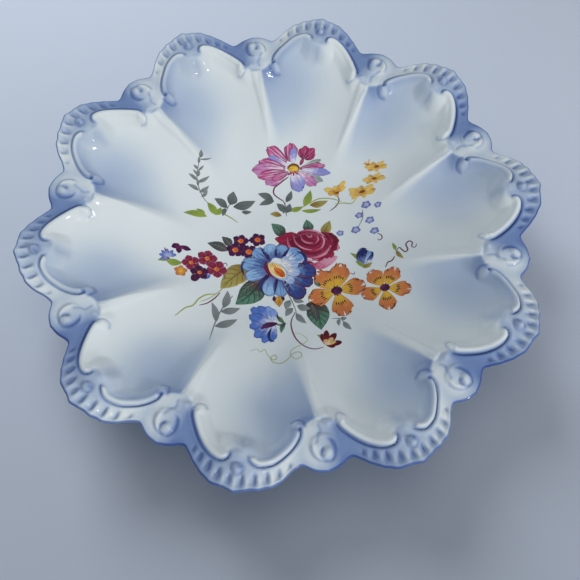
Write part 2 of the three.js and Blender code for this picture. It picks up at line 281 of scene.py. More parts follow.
def tab_relief(u, v):
    """The flat scroll tab between two shells: a knob with a curl, a keyhole and two beads."""
    knob = blend(7.2, 5.6, np.hypot(u - 0.3, v - 119.2))
    from_middle = np.hypot(u, v - TAB_MIDDLE)
    turn = np.degrees(np.arctan2(v - TAB_MIDDLE, u))
    to_right = np.abs((turn - 40 + 180) % 360 - 180)
    from_curl, along = beside(TAB_CURL, u, v)
    curl = hill(from_curl, np.interp(along, [0, 0.15, 0.35, 0.6, 0.8, 1], [0.4, 0.9, 1.0, 0.5, 0.6, 0.95]))
    curl *= np.interp(along, [0, 0.12, 0.4, 0.6, 0.8, 1], [0.3, 1, 1, 0.6, 0.7, 0.9])
    hair = hill(from_middle - 6.4, 0.5) * blend(66, 46, to_right)
    ring = hill(from_middle - 4.9, 0.9) * blend(70, 50, to_right)
    boss = np.clip(1 - (np.hypot(u + 1.5, v - 121.4) / 2.7) ** 2, 0, 1)
    channel = hill(beside(TAB_CHANNEL, u, v)[0], 0.7)
    beads = hill(np.hypot(u + 3.8, v - 108.1), 1.5) + 0.8 * hill(np.hypot(u + 5.8, v - 107.0), 1.2)
    height = 1.0 * knob - 1.5 * curl - 0.6 * hair + 0.5 * ring + 1.3 * boss - 0.6 * channel + 0.9 * beads
    tint = 1.5 * curl + 0.8 * hair + 0.6 * channel - 0.45 * boss - 0.3 * beads - 0.3 * ring
    return height, tint


def spear_relief(radius, beyond):
    """The flat spear just counter-clockwise of a rib's crest, with a step on its far edge."""
    width = np.interp(radius, [66, 74, 84, 103, 105], [0.6, 1.8, 2.5, 4.7, 4.4])
    spear = blend(-width - 1.6, -width + 0.6, beyond) * blend(0.7, -0.3, beyond)
    spear *= blend(64, 78, radius) * blend(106, 104.4, radius)
    return 0.9 * spear - 0.7 * hill(radius - 106.4, 0.8) * hill(beyond + width / 2, 3.2)


def pan_blue(radius, x, y, leaning, from_bead):
    """Blue sprayed over a pan, strongest along its counter-clockwise side, with some painted shade just
    inside the bead there.
    """
    from_rib = leaning + HALF_LOBE
    start = np.interp(from_rib, [0, 4, 14, 26], [46, 52, 62, 74])
    outward = np.interp(radius, [90, 124], [0, 9])
    at_rib = blend(0.0, np.interp(radius, [60, 80, 98], [9, 3.5, 1]), from_rib)
    tint = 0.82 * blend(16 - outward, -7 - outward, leaning) * at_rib * blend(start, start + 46, radius)
    # Just inside the beads on the counter-clockwise side the blue is deeper: partly blue pooled at the foot
    # of the wall, partly painted shade of the wall.
    tint += 0.4 * blend(5, 0, from_bead) * blend(3, -6, leaning) * blend(0.0, 1.0, from_rib)
    return tint + 0.55 * hill(np.hypot(x + 27.5, y - 101), 6) * blend(0.0, 1.1, from_rib)


def rim_blue(radius, a, u):
    """Blue sprayed along the rim, over the shell and over the tabs beside it."""
    on_shell = np.interp(a, [-13, -10, -3, 3, 8, 12], [0.5, 0.1, 0.7, 1.0, 1.8, 2.0])
    on_tab = np.interp(u, [-12, -7, -4, 0, 5, 12], [2.0, 2.0, 1.2, 0.55, 0.2, 0.3])
    on_rim = on_shell + (on_tab - on_shell) * blend(12, 14.5, np.abs(a))
    return on_rim * np.interp(radius, [104, 112], [0.55, 1])


def top_surface(radius, angle):
    """Height of the glaze and depth of its blue, painted shade and highlights included, for degrees clockwise
    from a shell's middle.
    """
    a = folded(angle)
    x, y = radius * np.sin(np.radians(a)), radius * np.cos(np.radians(a))
    leaning = folded(a - lean(radius))
    # The crest of a rib is crisp at its outer end and round where it dies away towards the well.
    half_pan, roundness = np.radians(HALF_LOBE) * radius, np.interp(radius, [60, 76, 95], [6, 2.6, 0.5])
    to_crest = np.hypot(half_pan * (1 - np.abs(leaning / HALF_LOBE)), roundness) - roundness
    slope = 1 - to_crest / (np.hypot(half_pan, roundness) - roundness)
    share = slope ** np.where(leaning < 0, 4.0, 1.7)
    pan = pan_height(radius) + (rib_height(radius) - pan_height(radius)) * share
    # A pan ends in a steep wall at the beads of its scrolls, where the rim begins.
    rim = rib_height(radius) + shell_rise(radius, a)
    inside, _ = beside(PAN_EDGE, x, y)
    bead_width = np.interp(x, [-27, -23, -12, -4, 0, 5, 12, 24, 28], [0.5, 2, 2.9, 2.2, 0, 2.4, 3.8, 3, 0.5])
    wall_width = np.interp(np.abs(x), [8, 24], [7, 4.5])
    well_side = blend(104, 98, radius)
    height = rim + (pan - rim) * np.maximum(blend(bead_width, bead_width + wall_width, inside), well_side)
    beyond = np.radians(np.where(leaning > 0, leaning - HALF_LOBE, leaning + HALF_LOBE)) * radius
    height += spear_relief(radius, beyond)
    # The blue changes over from the rim's to the pan's across the beads.
    to_tab = np.radians(np.where(a > 0, a - HALF_LOBE, a + HALF_LOBE))
    u_tab, v_tab = radius * np.sin(to_tab), radius * np.cos(to_tab)
    on_rim = rim_blue(radius, a, u_tab)
    in_bead = np.maximum(blend(-0.5, 0.8 + 0.7 * bead_width, inside), well_side)
    tint = on_rim + (pan_blue(radius, x, y, leaning, inside - bead_width) - on_rim) * in_bead
    # Along the edge the frill ends in a raised band, and the blue has pooled.
    to_edge = rim_radius(a) - radius
    height += 0.5 * blend(12.5, 10.5, np.abs(a)) * hill(to_edge - 1.5, 1.0)
    pooled = hill(to_edge, 0.8) * (1.7 + 1.2 * blend(2, 10, a) * blend(14, 11, a))
    tint += pooled + 0.5 * blend(5.5, 0, to_edge) * blend(12, 14, np.abs(a))
    relief, shade = tab_relief(u_tab, v_tab)
    fade = blend(103, 107, radius)
    height += relief * fade
    tint += shade * fade
    for aside in (0, 2 * HALF_LOBE, -2 * HALF_LOBE):
        b = np.radians(a + aside)
        xb, yb = radius * np.sin(b), radius * np.cos(b)
        for relief, shade in (scroll_relief(xb, yb), frill_relief(xb, yb)):
            height += relief
            tint += shade
    return height, np.clip(tint, 0, MOST_BLUE)


def under_surface(radius, angle):
    """The underside repeats the pans and ribs softly, a wall's thickness lower."""
    a = folded(angle)
    share = np.abs(a / HALF_LOBE) ** np.where(a < 0, 3.0, 1.7)
    pan = pan_height(radius) + (rib_height(radius) - pan_height(radius)) * share - WALL
    arch = np.clip(1 - np.abs(a / 15) ** 3.2, 0, 1) ** 0.75
    in_pan = blend(-4, 17, 104.5 + 23.3 * arch - radius)
    rim = rib_height(radius) + shell_rise(radius, a, 110, 133) - LIP
    return rim + (pan - rim) * in_pan


# Rings of the mesh: inner ones by radius and count, the fine ones from there out to the lip, steps in
# degrees round the lip, millimetres in from the edge below it, and radii along the underside.
COARSE_RINGS, MIDDLE_RINGS, FINE_RINGS = (3, 39, 13), (41, 83, 25), (84.5, 95, 8)
OUTER_START, OUTER_RINGS = 96, 56
LIP_STEPS = (18, 38, 60, 84, 112, 145)
UNDER_LIP = (1.6, 3.4, 6, 9)
UNDER_RADII = (113, 108, 102, 96, 89, 82, 75, 68, 61, 56)
STEPS_ROUND = (25, 50, 100)


def lobe_rings():
    """Rings of one lobe from the middle of the well round the lip to the middle of the recess."""
    coarse, middle, fine = (np.linspace(-HALF_LOBE, HALF_LOBE, n + 1) for n in STEPS_ROUND)
    rings = []

    def on_top(angles, radius):
        height, tint = top_surface(radius, angles)
        rings.append((angles, radius, height, tint))

    for angles, spread in ((coarse, COARSE_RINGS), (middle, MIDDLE_RINGS), (fine, FINE_RINGS)):
        for r in np.linspace(*spread):
            on_top(angles, np.full(angles.shape, r))
    edge = rim_radius(fine)
    for share in np.linspace(0, 1, OUTER_RINGS):
        on_top(fine, OUTER_START + (edge - LIP_ROUNDING - OUTER_START) * share)
    top, tint = top_surface(edge - LIP_ROUNDING, fine)
    for step in np.radians(LIP_STEPS):
        out = LIP_ROUNDING * math.sin(step)
        drop = 1.6 * (1 - math.cos(step))
        blue = np.clip(tint + 1.8 + 0.6 * drop, 0, MOST_BLUE)
        rings.append((fine, edge - LIP_ROUNDING + out, top - drop, blue))
    ones = np.ones(middle.shape)
    for inward in UNDER_LIP:
        radius = rim_radius(middle) - inward - LIP_ROUNDING
        height = np.minimum(under_surface(radius, middle), top_surface(radius, middle)[0] - 3.2)
        rings.append((middle, radius, height, np.interp(inward, [1.6, 9], [2.2, 0.6]) * ones))
    for r in UNDER_RADII:
        overspray = np.interp(r, [80, 113], [0, 0.4])
        rings.append((middle, r * ones, under_surface(r * ones, middle), overspray * ones))
    zeros = np.zeros(coarse.shape)
    outer_seat, inner_seat = SEAT_RADII
    for r, z in ((53.2, 11.2), (outer_seat + 0.9, SEAT_HEIGHT + 1.2), (outer_seat, SEAT_HEIGHT),
                 (inner_seat, SEAT_HEIGHT), (41.6, 7.6), (RECESS_RADIUS, RECESS_HEIGHT), (20, RECESS_HEIGHT)):
        rings.append((coarse, zeros + r, zeros + z, zeros))
    return rings


def lobe_mesh(name):
    """One lobe as a fan round the axis, with the depth of its blue kept at every point."""
    rings = lobe_rings()
    points, tints, starts, faces = [], [], [], []
    middle_height, _ = top_surface(np.array([0.01]), np.array([0.0]))
    points.append((0, 0, float(middle_height[0])))
    tints.append(0)
    for angles, radius, height, tint in rings:
        starts.append(len(points))
        turn = np.radians(angles)
        points.extend(zip(radius * np.sin(turn), radius * np.cos(turn), height))
        tints.extend(tint)
    points.append((0, 0, RECESS_HEIGHT))
    tints.append(0)
    first, last = starts[0], len(points) - 1
    for j in range(len(rings[0][0]) - 1):
        faces.append((0, first + j + 1, first + j))
    for (a, here), (b, there) in zip(zip(starts, rings), zip(starts[1:], rings[1:])):
        inner, outer = len(here[0]) - 1, len(there[0]) - 1
        for j in range(min(inner, outer)):
            if inner == outer:
                faces.append((a + j, a + j + 1, b + j + 1, b + j))
            elif outer > inner:
                k = b + 2 * j
                faces += [(a + j, k + 1, k), (a + j, a + j + 1, k + 1), (a + j + 1, k + 2, k + 1)]
            else:
                k = a + 2 * j
                faces += [(b + j, k, k + 1), (b + j, k + 1, b + j + 1), (b + j + 1, k + 1, k + 2)]
    for j in range(len(rings[-1][0]) - 1):
        faces.append((starts[-1] + j, starts[-1] + j + 1, last))
    mesh = bpy.data.meshes.new(name)
    mesh.from_pydata([Vector(p) * MM for p in points], [], faces)
    mesh.attributes.new("tint", "FLOAT", "POINT").data.foreach_set("value", np.array(tints, np.float32))
    return mesh


def wire(tree, *links):
    """Joins sockets in pairs, from an output to an input."""
    for out, into in links:
        tree.links.new(out, into)


def new_tree(name, sockets, kind="GeometryNodeTree"):
    """An empty node group with its named sockets, its input node and its output node."""
    tree = bpy.data.node_groups.new(name, kind)
    for label, way, socket_type, value in sockets:
        socket = tree.interface.new_socket(label, in_out=way, socket_type="NodeSocket" + socket_type)
        if value is not None:
            socket.default_value = value
    return tree, tree.nodes.new("NodeGroupInput"), tree.nodes.new("NodeGroupOutput")


def run_tree(obj, tree, values):
    """Runs a Geometry Nodes tree on an object and keeps its result as a plain mesh."""
    modifier = obj.modifiers.new(tree.name, "NODES")
    modifier.node_group = tree
    for item in tree.interface.items_tree:
        if item.item_type == "SOCKET" and item.in_out == "INPUT" and item.name in values:
            modifier[item.identifier] = values[item.name]
    evaluated = obj.evaluated_get(bpy.context.evaluated_depsgraph_get())
    mesh = bpy.data.meshes.new_from_object(evaluated)
    obj.modifiers.remove(modifier)
    return mesh


def piece(name, mesh):
    """A mesh put into the scene as an object of its own."""
    obj = bpy.data.objects.new(name, mesh)
    bpy.context.scene.collection.objects.link(obj)
    return obj


def ten_lobes_tree():
    """The lobe repeated round the axis and joined up into one skin."""
    tree, given, result = new_tree("ten lobes", [
        ("Lobe", "INPUT", "Geometry", None), ("Lobes", "INPUT", "Int", LOBES),
        ("Merge Distance", "INPUT", "Float", 0.0), ("Glaze", "INPUT", "Material", None),
        ("Bowl", "OUTPUT", "Geometry", None),
    ])
    n = tree.nodes
    spots, index, turn, angle, rotation = (
        n.new("GeometryNodeMeshLine"), n.new("GeometryNodeInputIndex"), n.new("ShaderNodeMath"),
        n.new("ShaderNodeMath"), n.new("ShaderNodeCombineXYZ"))
    place, real, merge = (
        n.new("GeometryNodeInstanceOnPoints"), n.new("GeometryNodeRealizeInstances"),
        n.new("GeometryNodeMergeByDistance"))
    smooth, glaze = n.new("GeometryNodeSetShadeSmooth"), n.new("GeometryNodeSetMaterial")
    spots.inputs["Offset"].default_value = (0, 0, 0)
    turn.operation, angle.operation = "DIVIDE", "MULTIPLY"
    turn.inputs[0].default_value = -2 * math.pi
    wire(tree,
         (given.outputs["Lobes"], spots.inputs["Count"]), (given.outputs["Lobes"], turn.inputs[1]),
         (index.outputs[0], angle.inputs[0]), (turn.outputs[0], angle.inputs[1]),
         (angle.outputs[0], rotation.inputs["Z"]), (spots.outputs["Mesh"], place.inputs["Points"]),
         (given.outputs["Lobe"], place.inputs["Instance"]), (rotation.outputs[0], place.inputs["Rotation"]),
         (place.outputs[0], real.inputs[0]), (real.outputs[0], merge.inputs["Geometry"]),
         (given.outputs["Merge Distance"], merge.inputs["Distance"]), (merge.outputs[0], smooth.inputs[0]),
         (smooth.outputs[0], glaze.inputs["Geometry"]), (given.outputs["Glaze"], glaze.inputs["Material"]),
         (glaze.outputs[0], result.inputs[0]))
    return tree


# The bare glaze, and what is left of each colour after one pass of the airbrush.
WHITE_GLAZE = (0.77, 0.825, 0.83)
BLUE_PASSES = (0.49, 0.575, 0.78)
BLUE_STOPS = (0, 0.5, 1, 2, 3, 4)


def calculated(tree, operation, *terms, clamp=False):
    """The result of one sum on sockets and plain numbers."""
    node = tree.nodes.new("ShaderNodeMath")
    node.operation, node.use_clamp = operation, clamp
    for socket, term in zip(node.inputs, terms):
        if isinstance(term, (int, float)):
            socket.default_value = term
        else:
            tree.links.new(term, socket)
    return node.outputs[0]


def noise(tree, place, scale, detail):
    """Smooth noise over a place, about a half on average."""
    node = tree.nodes.new("ShaderNodeTexNoise")
    node.inputs["Scale"].default_value, node.inputs["Detail"].default_value = scale, detail
    tree.links.new(place, node.inputs["Vector"])
    return node.outputs["Fac"]


def bumped(tree, height, strength, distance):
    """A normal pushed about by a height."""
    node = tree.nodes.new("ShaderNodeBump")
    node.inputs["Strength"].default_value, node.inputs["Distance"].default_value = strength, distance
    tree.links.new(height, node.inputs["Height"])
    return node.outputs["Normal"]


def airbrush_group():
    """Sprayed cobalt under the glaze: depth of colour in, colour out."""
    tree, given, result = new_tree("airbrush", [
        ("Depth", "INPUT", "Float", 0), ("Position", "INPUT", "Vector", None),
        ("Grain", "INPUT", "Float", 0.12), ("Drift", "INPUT", "Float", 0.25),
        ("Color", "OUTPUT", "Color", None),
    ], "ShaderNodeTree")
    place = given.outputs["Position"]
    grain = calculated(tree, "SUBTRACT", noise(tree, place, 2600, 2), 0.5)
    drift = calculated(tree, "SUBTRACT", noise(tree, place, 26, 2), 0.5)
    drifted = calculated(tree, "MULTIPLY_ADD", drift, given.outputs["Drift"], 1)
    spread = calculated(tree, "MULTIPLY_ADD", grain, given.outputs["Grain"], drifted)
    depth = calculated(tree, "MULTIPLY", spread, given.outputs["Depth"])
    ramp = tree.nodes.new("ShaderNodeValToRGB")
    stops = ramp.color_ramp.elements
    while len(stops) < len(BLUE_STOPS):
        stops.new(0.5)
    for stop, passes in zip(stops, BLUE_STOPS):
        stop.position = passes / MOST_BLUE
        stop.color = (*(white * left**passes for white, left in zip(WHITE_GLAZE, BLUE_PASSES)), 1)
    wire(tree,
         (calculated(tree, "DIVIDE", depth, MOST_BLUE), ramp.inputs["Fac"]),
         (ramp.outputs["Color"], result.inputs["Color"]))
    return tree


def glaze_skin_group():
    """The soft unevenness of a dipped glaze: position in, height and roughness out."""
    tree, given, result = new_tree("glaze skin", [
        ("Position", "INPUT", "Vector", None), ("Roughness", "INPUT", "Float", 0.1),
        ("Height", "OUTPUT", "Float", None), ("Roughness", "OUTPUT", "Float", None),
    ], "ShaderNodeTree")
    place = given.outputs["Position"]
    slow, fast = noise(tree, place, 90, 1), noise(tree, place, 420, 2)
    height = calculated(tree, "MULTIPLY_ADD", fast, 0.12, slow)
    roughness = calculated(tree, "MULTIPLY_ADD", slow, 0.06, given.outputs["Roughness"])
    wire(tree, (height, result.inputs["Height"]), (roughness, result.inputs["Roughness"]))
    return tree


AIRBRUSH = airbrush_group()
GLAZE_SKIN = glaze_skin_group()


def group_node(tree, group, **values):
    """A shader group placed in a material, with its own values."""
    node = tree.nodes.new("ShaderNodeGroup")
    node.node_tree = group
    for name, value in values.items():
        node.inputs[name].default_value = value
    return node


def start_material(name):
    """A material, its tree, its Principled BSDF and its Object coordinates."""
    material = bpy.data.materials.new(name)
    material.use_nodes = True
    tree = material.node_tree
    place = tree.nodes.new("ShaderNodeTexCoord").outputs["Object"]
    return material, tree, tree.nodes["Principled BSDF"], place


def glazed_porcelain():
    """Clear glaze over porcelain, blue as deep as the lobe's own tint says."""
    material, tree, body, place = start_material("glazed_porcelain_airbrushed")
    depth = tree.nodes.new("ShaderNodeAttribute")
    depth.attribute_name = "tint"
    spray = group_node(tree, AIRBRUSH, Grain=0.35, Drift=0.45)
    skin = group_node(tree, GLAZE_SKIN, Roughness=0.07)
    wire(tree,
         (depth.outputs["Fac"], spray.inputs["Depth"]), (place, spray.inputs["Position"]),
         (place, skin.inputs["Position"]), (spray.outputs["Color"], body.inputs["Base Color"]),
         (skin.outputs["Roughness"], body.inputs["Roughness"]),
         (bumped(tree, skin.outputs["Height"], 0.25, 0.4 * MM), body.inputs["Normal"]))
    return material


GLAZE = glazed_porcelain()
JOIN_DISTANCE = 0.02 * MM
lobe = piece("lobe", lobe_mesh("lobe"))
bowl = piece("bowl_glazed", run_tree(
    lobe, ten_lobes_tree(), {"Lobes": LOBES, "Merge Distance": JOIN_DISTANCE, "Glaze": GLAZE}))
bpy.data.objects.remove(lobe)
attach(bowl, "root")
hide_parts("bowl_body")

# ---------------------------------------------------------------- foot ring
# The ring that the bowl stands on. Thrown from the same porcelain clay, luted to the flat seat under
# the well and glazed with the body, but wiped clean along its standing edge before the firing.

FOOT_OUTLINE = [
    (43.5, 8.2), (43.6, 7.2), (44.2, 4), (44.7, 1.2), (45.0, 0.45), (45.6, 0.08), (46.1, 0), (46.9, 0),
    (47.4, 0.08), (48.0, 0.45), (48.3, 1.2), (48.8, 4), (49.4, 7.2), (49.5, 8.2),
]
FOOT_SIDES = 240
BISCUIT = (0.62, 0.59, 0.54)
BISCUIT_ROUGHNESS = 0.75
WIPED_UP_TO = 1.4 * MM
DRY_UP_TO = 1.0 * MM


def mixed(tree, share, a, b):
    """A colour between two others, each a socket or a plain colour."""
    node = tree.nodes.new("ShaderNodeMix")
    node.data_type = "RGBA"
    tree.links.new(share, node.inputs[0])
    for socket, color in ((node.inputs[6], a), (node.inputs[7], b)):
        if isinstance(color, tuple):
            socket.default_value = (*color, 1)
        else:
            tree.links.new(color, socket)
    return node.outputs[2]


def foot_mesh():
    """The ring's section swept round the axis."""
    points, faces = [], []
    rounds = len(FOOT_OUTLINE)
    for i in range(FOOT_SIDES):
        turn = 2 * math.pi * i / FOOT_SIDES
        points += [Vector((r * math.sin(turn), r * math.cos(turn), z)) * MM for r, z in FOOT_OUTLINE]
        a, b = i * rounds, (i + 1) % FOOT_SIDES * rounds
        for j in range(rounds):
            k = (j + 1) % rounds
            faces.append((a + j, a + k, b + k, b + j))
    mesh = bpy.data.meshes.new("foot")
    mesh.from_pydata(points, [], faces)
    mesh.polygons.foreach_set("use_smooth", [True] * len(faces))
    return mesh


def foot_porcelain():
    """Glazed clay that turns to dry, slightly grey biscuit where the ring was wiped and stands."""
    material, tree, body, place = start_material("foot_porcelain_wiped")
    skin = group_node(tree, GLAZE_SKIN, Roughness=0.08)
    split, dry = tree.nodes.new("ShaderNodeSeparateXYZ"), tree.nodes.new("ShaderNodeMapRange")
    dry.inputs["From Min"].default_value, dry.inputs["From Max"].default_value = WIPED_UP_TO, DRY_UP_TO
    rough = tree.nodes.new("ShaderNodeMix")
    rough.inputs[3].default_value = BISCUIT_ROUGHNESS
    grit = noise(tree, place, 900, 3)
    wire(tree,
         (place, split.inputs[0]), (place, skin.inputs["Position"]),
         (calculated(tree, "MULTIPLY_ADD", grit, 0.8 * MM, split.outputs["Z"]), dry.inputs["Value"]),
         (dry.outputs[0], rough.inputs[0]), (skin.outputs["Roughness"], rough.inputs[2]),
         (rough.outputs[0], body.inputs["Roughness"]),
         (mixed(tree, dry.outputs[0], WHITE_GLAZE, BISCUIT), body.inputs["Base Color"]),
         (bumped(tree, grit, 0.3, 0.3 * MM), body.inputs["Normal"]))
    return material


foot = piece("foot_wiped", foot_mesh())
foot.data.materials.append(foot_porcelain())
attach(foot, "root")
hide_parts("foot_ring")

# ---------------------------------------------------------------- main bouquet of the transfer print
# The blue anemone, the rose, the small purple flowers and the leaves round them. Enamel colours
# printed as one sheet, slid onto the glazed bowl and fired on, so they lie as a skin on the glaze.

SPRAY_TURN = math.radians(8.7)
# Height of the lowest marks over the glaze, height from one layer to the next, depth that all marks are
# sunk into the glaze, and small steps that keep overlapping marks of one layer apart.
INK_THICKNESS = 0.04
INK_STEP = 0.022
INK_KEY = 0.05
OVERLAP_STEP = 0.0035
OVERLAP_STEPS = 5
# How far a mark looks ahead along its spine to find its way.
LOOK_AHEAD = 0.2

# Inks: colour at a mark's root and at its tip, then its veins and its edge, each with a strength.
INKS = {
    "anemone": ("#4c5a94", "#86aeda", ("#3a4f92", 0.7), ("#33285a", 0.6)),
    "anemone light": ("#6478ac", "#9cc0e4", ("#4c6cae", 0.65), ("#3c4f90", 0.6)),
    "anemone deep": ("#86a9d8", "#314c8e", ("#4a1c48", 0.8), ("#5c1436", 1.0)),
    "anemone pale": ("#e4eaf2", "#7ca4d6", ("#3a64a8", 0.7), ("#c4d4ec", 0.5)),
    "anemone white": ("#efe9e4", "#a9c0e2", ("#5a80c0", 0.6), ("#8fabd6", 0.5)),
    "navy curl": ("#27336e", "#1f2350", ("#3f5aa8", 0.5), ("#161a3c", 0.5)),
    "shadow": ("#3a1c48", "#2c3878", ("#4a1c48", 0.5), ("#3c4c90", 0.4)),
    "cup": ("#f2d888", "#f4e6ac", ("#d88a3a", 0.6), ("#fff3cc", 0.7)),
    "core": ("#d9632c", "#b8321f", ("#f0b04c", 0.7), ("#e89a3c", 0.8)),
    "rose back": ("#6e1230", "#9c2444", ("#520a22", 0.7), ("#c0506f", 0.45)),
    "rose": ("#7c1636", "#a02c4c", ("#5c0e2a", 0.7), ("#c87090", 0.4)),
    "rose light": ("#c4587c", "#dc94ac", ("#a03458", 0.6), ("#e8b4c4", 0.5)),
    "rose core": ("#520a24", "#741434", ("#b03c5c", 0.5), ("#420618", 0.6)),
    "rose pink": ("#bc4068", "#e0a0b8", ("#a03058", 0.6), ("#efc0cf", 0.5)),
    "purple": ("#6c2850", "#481a44", ("#301238", 0.5), ("#7c4a86", 0.35)),
    "maroon": ("#7a1c3c", "#94304e", ("#4c0e28", 0.7), ("#d09aac", 0.55)),
    "maroon dark": ("#5c1c44", "#4a1c40", ("#2c0e2a", 0.6), ("#8a5c88", 0.4)),
    "orange eye": ("#f09a3c", "#e0622c", ("#a83018", 0.6), ("#f6c060", 0.5)),
    "dark leaf": ("#55504e", "#454a48", ("#8a8c88", 0.5), ("#2e3232", 0.4)),
    "olive leaf": ("#94783a", "#aaa058", ("#6a4a30", 0.65), ("#c4bc7c", 0.4)),
    "green leaf": ("#4a3a40", "#5e8a72", ("#26302e", 0.7), ("#3c5c4e", 0.4)),
    "maroon leaf": ("#5a3038", "#3f5a4c", ("#8a9a84", 0.5), ("#2c3a34", 0.4)),
    "bud yellow": ("#d8b040", "#c9973a", ("#7c1f30", 0.8), ("#8c2a34", 0.6)),
    "lime": ("#98aa48", "#8a9c48", ("#5c7434", 0.5), ("#bccc78", 0.4)),
    "grey leaf": ("#7a8281", "#8b9291", ("#626968", 0.4), ("#6e7574", 0.3)),
    "grey dark": ("#5f6665", "#6f7675", ("#4a5150", 0.5), ("#545a59", 0.3)),
    "cosmos": ("#8c2860", "#b84c84", ("#ecc4da", 0.75), ("#8a2a64", 0.6)),
    "cosmos pale": ("#f4e0ec", "#c888b8", ("#a03c7c", 0.75), ("#a04c8c", 0.5)),
    "cosmos lilac": ("#f0eef8", "#8c9ad8", ("#b06ab0", 0.65), ("#7078c0", 0.5)),
    "cosmos green": ("#e8ece8", "#a8b4b0", ("#56685f", 0.85), ("#6e7e7a", 0.6)),
    "cosmos bud": ("#7c1446", "#a82c5c", ("#d88ab0", 0.6), ("#8c2050", 0.5)),
    "gold": ("#e8b840", "#f0c850", ("#9a5a20", 0.6), ("#c98a2c", 0.5)),
    "brown": ("#6c3a1c", "#8a5424", ("#3c1c10", 0.6), ("#b87a30", 0.4)),
    "orange petal": ("#e2b640", "#d27c48", ("#bc6434", 0.35), ("#ca784a", 0.4)),
    "dash": ("#2a1a18", "#2a1a18", ("#2a1a18", 0), ("#2a1a18", 0)),
    "plum": ("#6c2a54", "#4a1838", ("#2c0c24", 0.7), ("#8a4a6c", 0.5)),
    "yellow": ("#d89c44", "#f0cc6c", ("#a87030", 0.5), ("#f4dc90", 0.4)),
    "yellow deep": ("#a8682c", "#e4b450", ("#7c4c22", 0.55), ("#c08c40", 0.5)),
    "small blue": ("#c4cef0", "#7080c4", ("#4858a8", 0.6), ("#5060a8", 0.5)),
    "bell": ("#dfe6f8", "#5c7ecc", ("#3450a4", 0.75), ("#3c5298", 0.5)),
    "bell white": ("#f4f6fa", "#8aa6e2", ("#5474c8", 0.5), ("#6a88d4", 0.4)),
    "bell throat": ("#4a1c44", "#5c2c5c", ("#32122e", 0.6), ("#6c3c70", 0.4)),
    "bud blue": ("#7484c4", "#262c66", ("#181c50", 0.7), ("#1a1e4c", 0.6)),
    "red bud": ("#8c2430", "#5c1220", ("#3c0a14", 0.6), ("#a84a48", 0.4)),
    "cream": ("#f0e2b0", "#e2b878", ("#a8683c", 0.5), ("#c98a54", 0.4)),
    "stem maroon": ("#6c3448", "#7c4458", ("#502434", 0.4), ("#6c3448", 0.2)),
    "stem grey": ("#7c8684", "#7c8684", ("#5c6664", 0.4), ("#7c8684", 0.2)),
    "stem lime": ("#b4bc68", "#a4b05c", ("#8c9848", 0.4), ("#b4bc68", 0.2)),
    "stem pale": ("#c2ca92", "#b4be84", ("#9aa668", 0.4), ("#c2ca92", 0.2)),
}


def linear(code, alpha=1.0):
    """A colour written as #rrggbb, as scene-linear red, green, blue and a fourth value."""
    parts = [int(code[i:i + 2], 16) / 255 for i in (1, 3, 5)]
    return [p / 12.92 if p < 0.04045 else ((p + 0.055) / 1.055) ** 2.4 for p in parts] + [alpha]


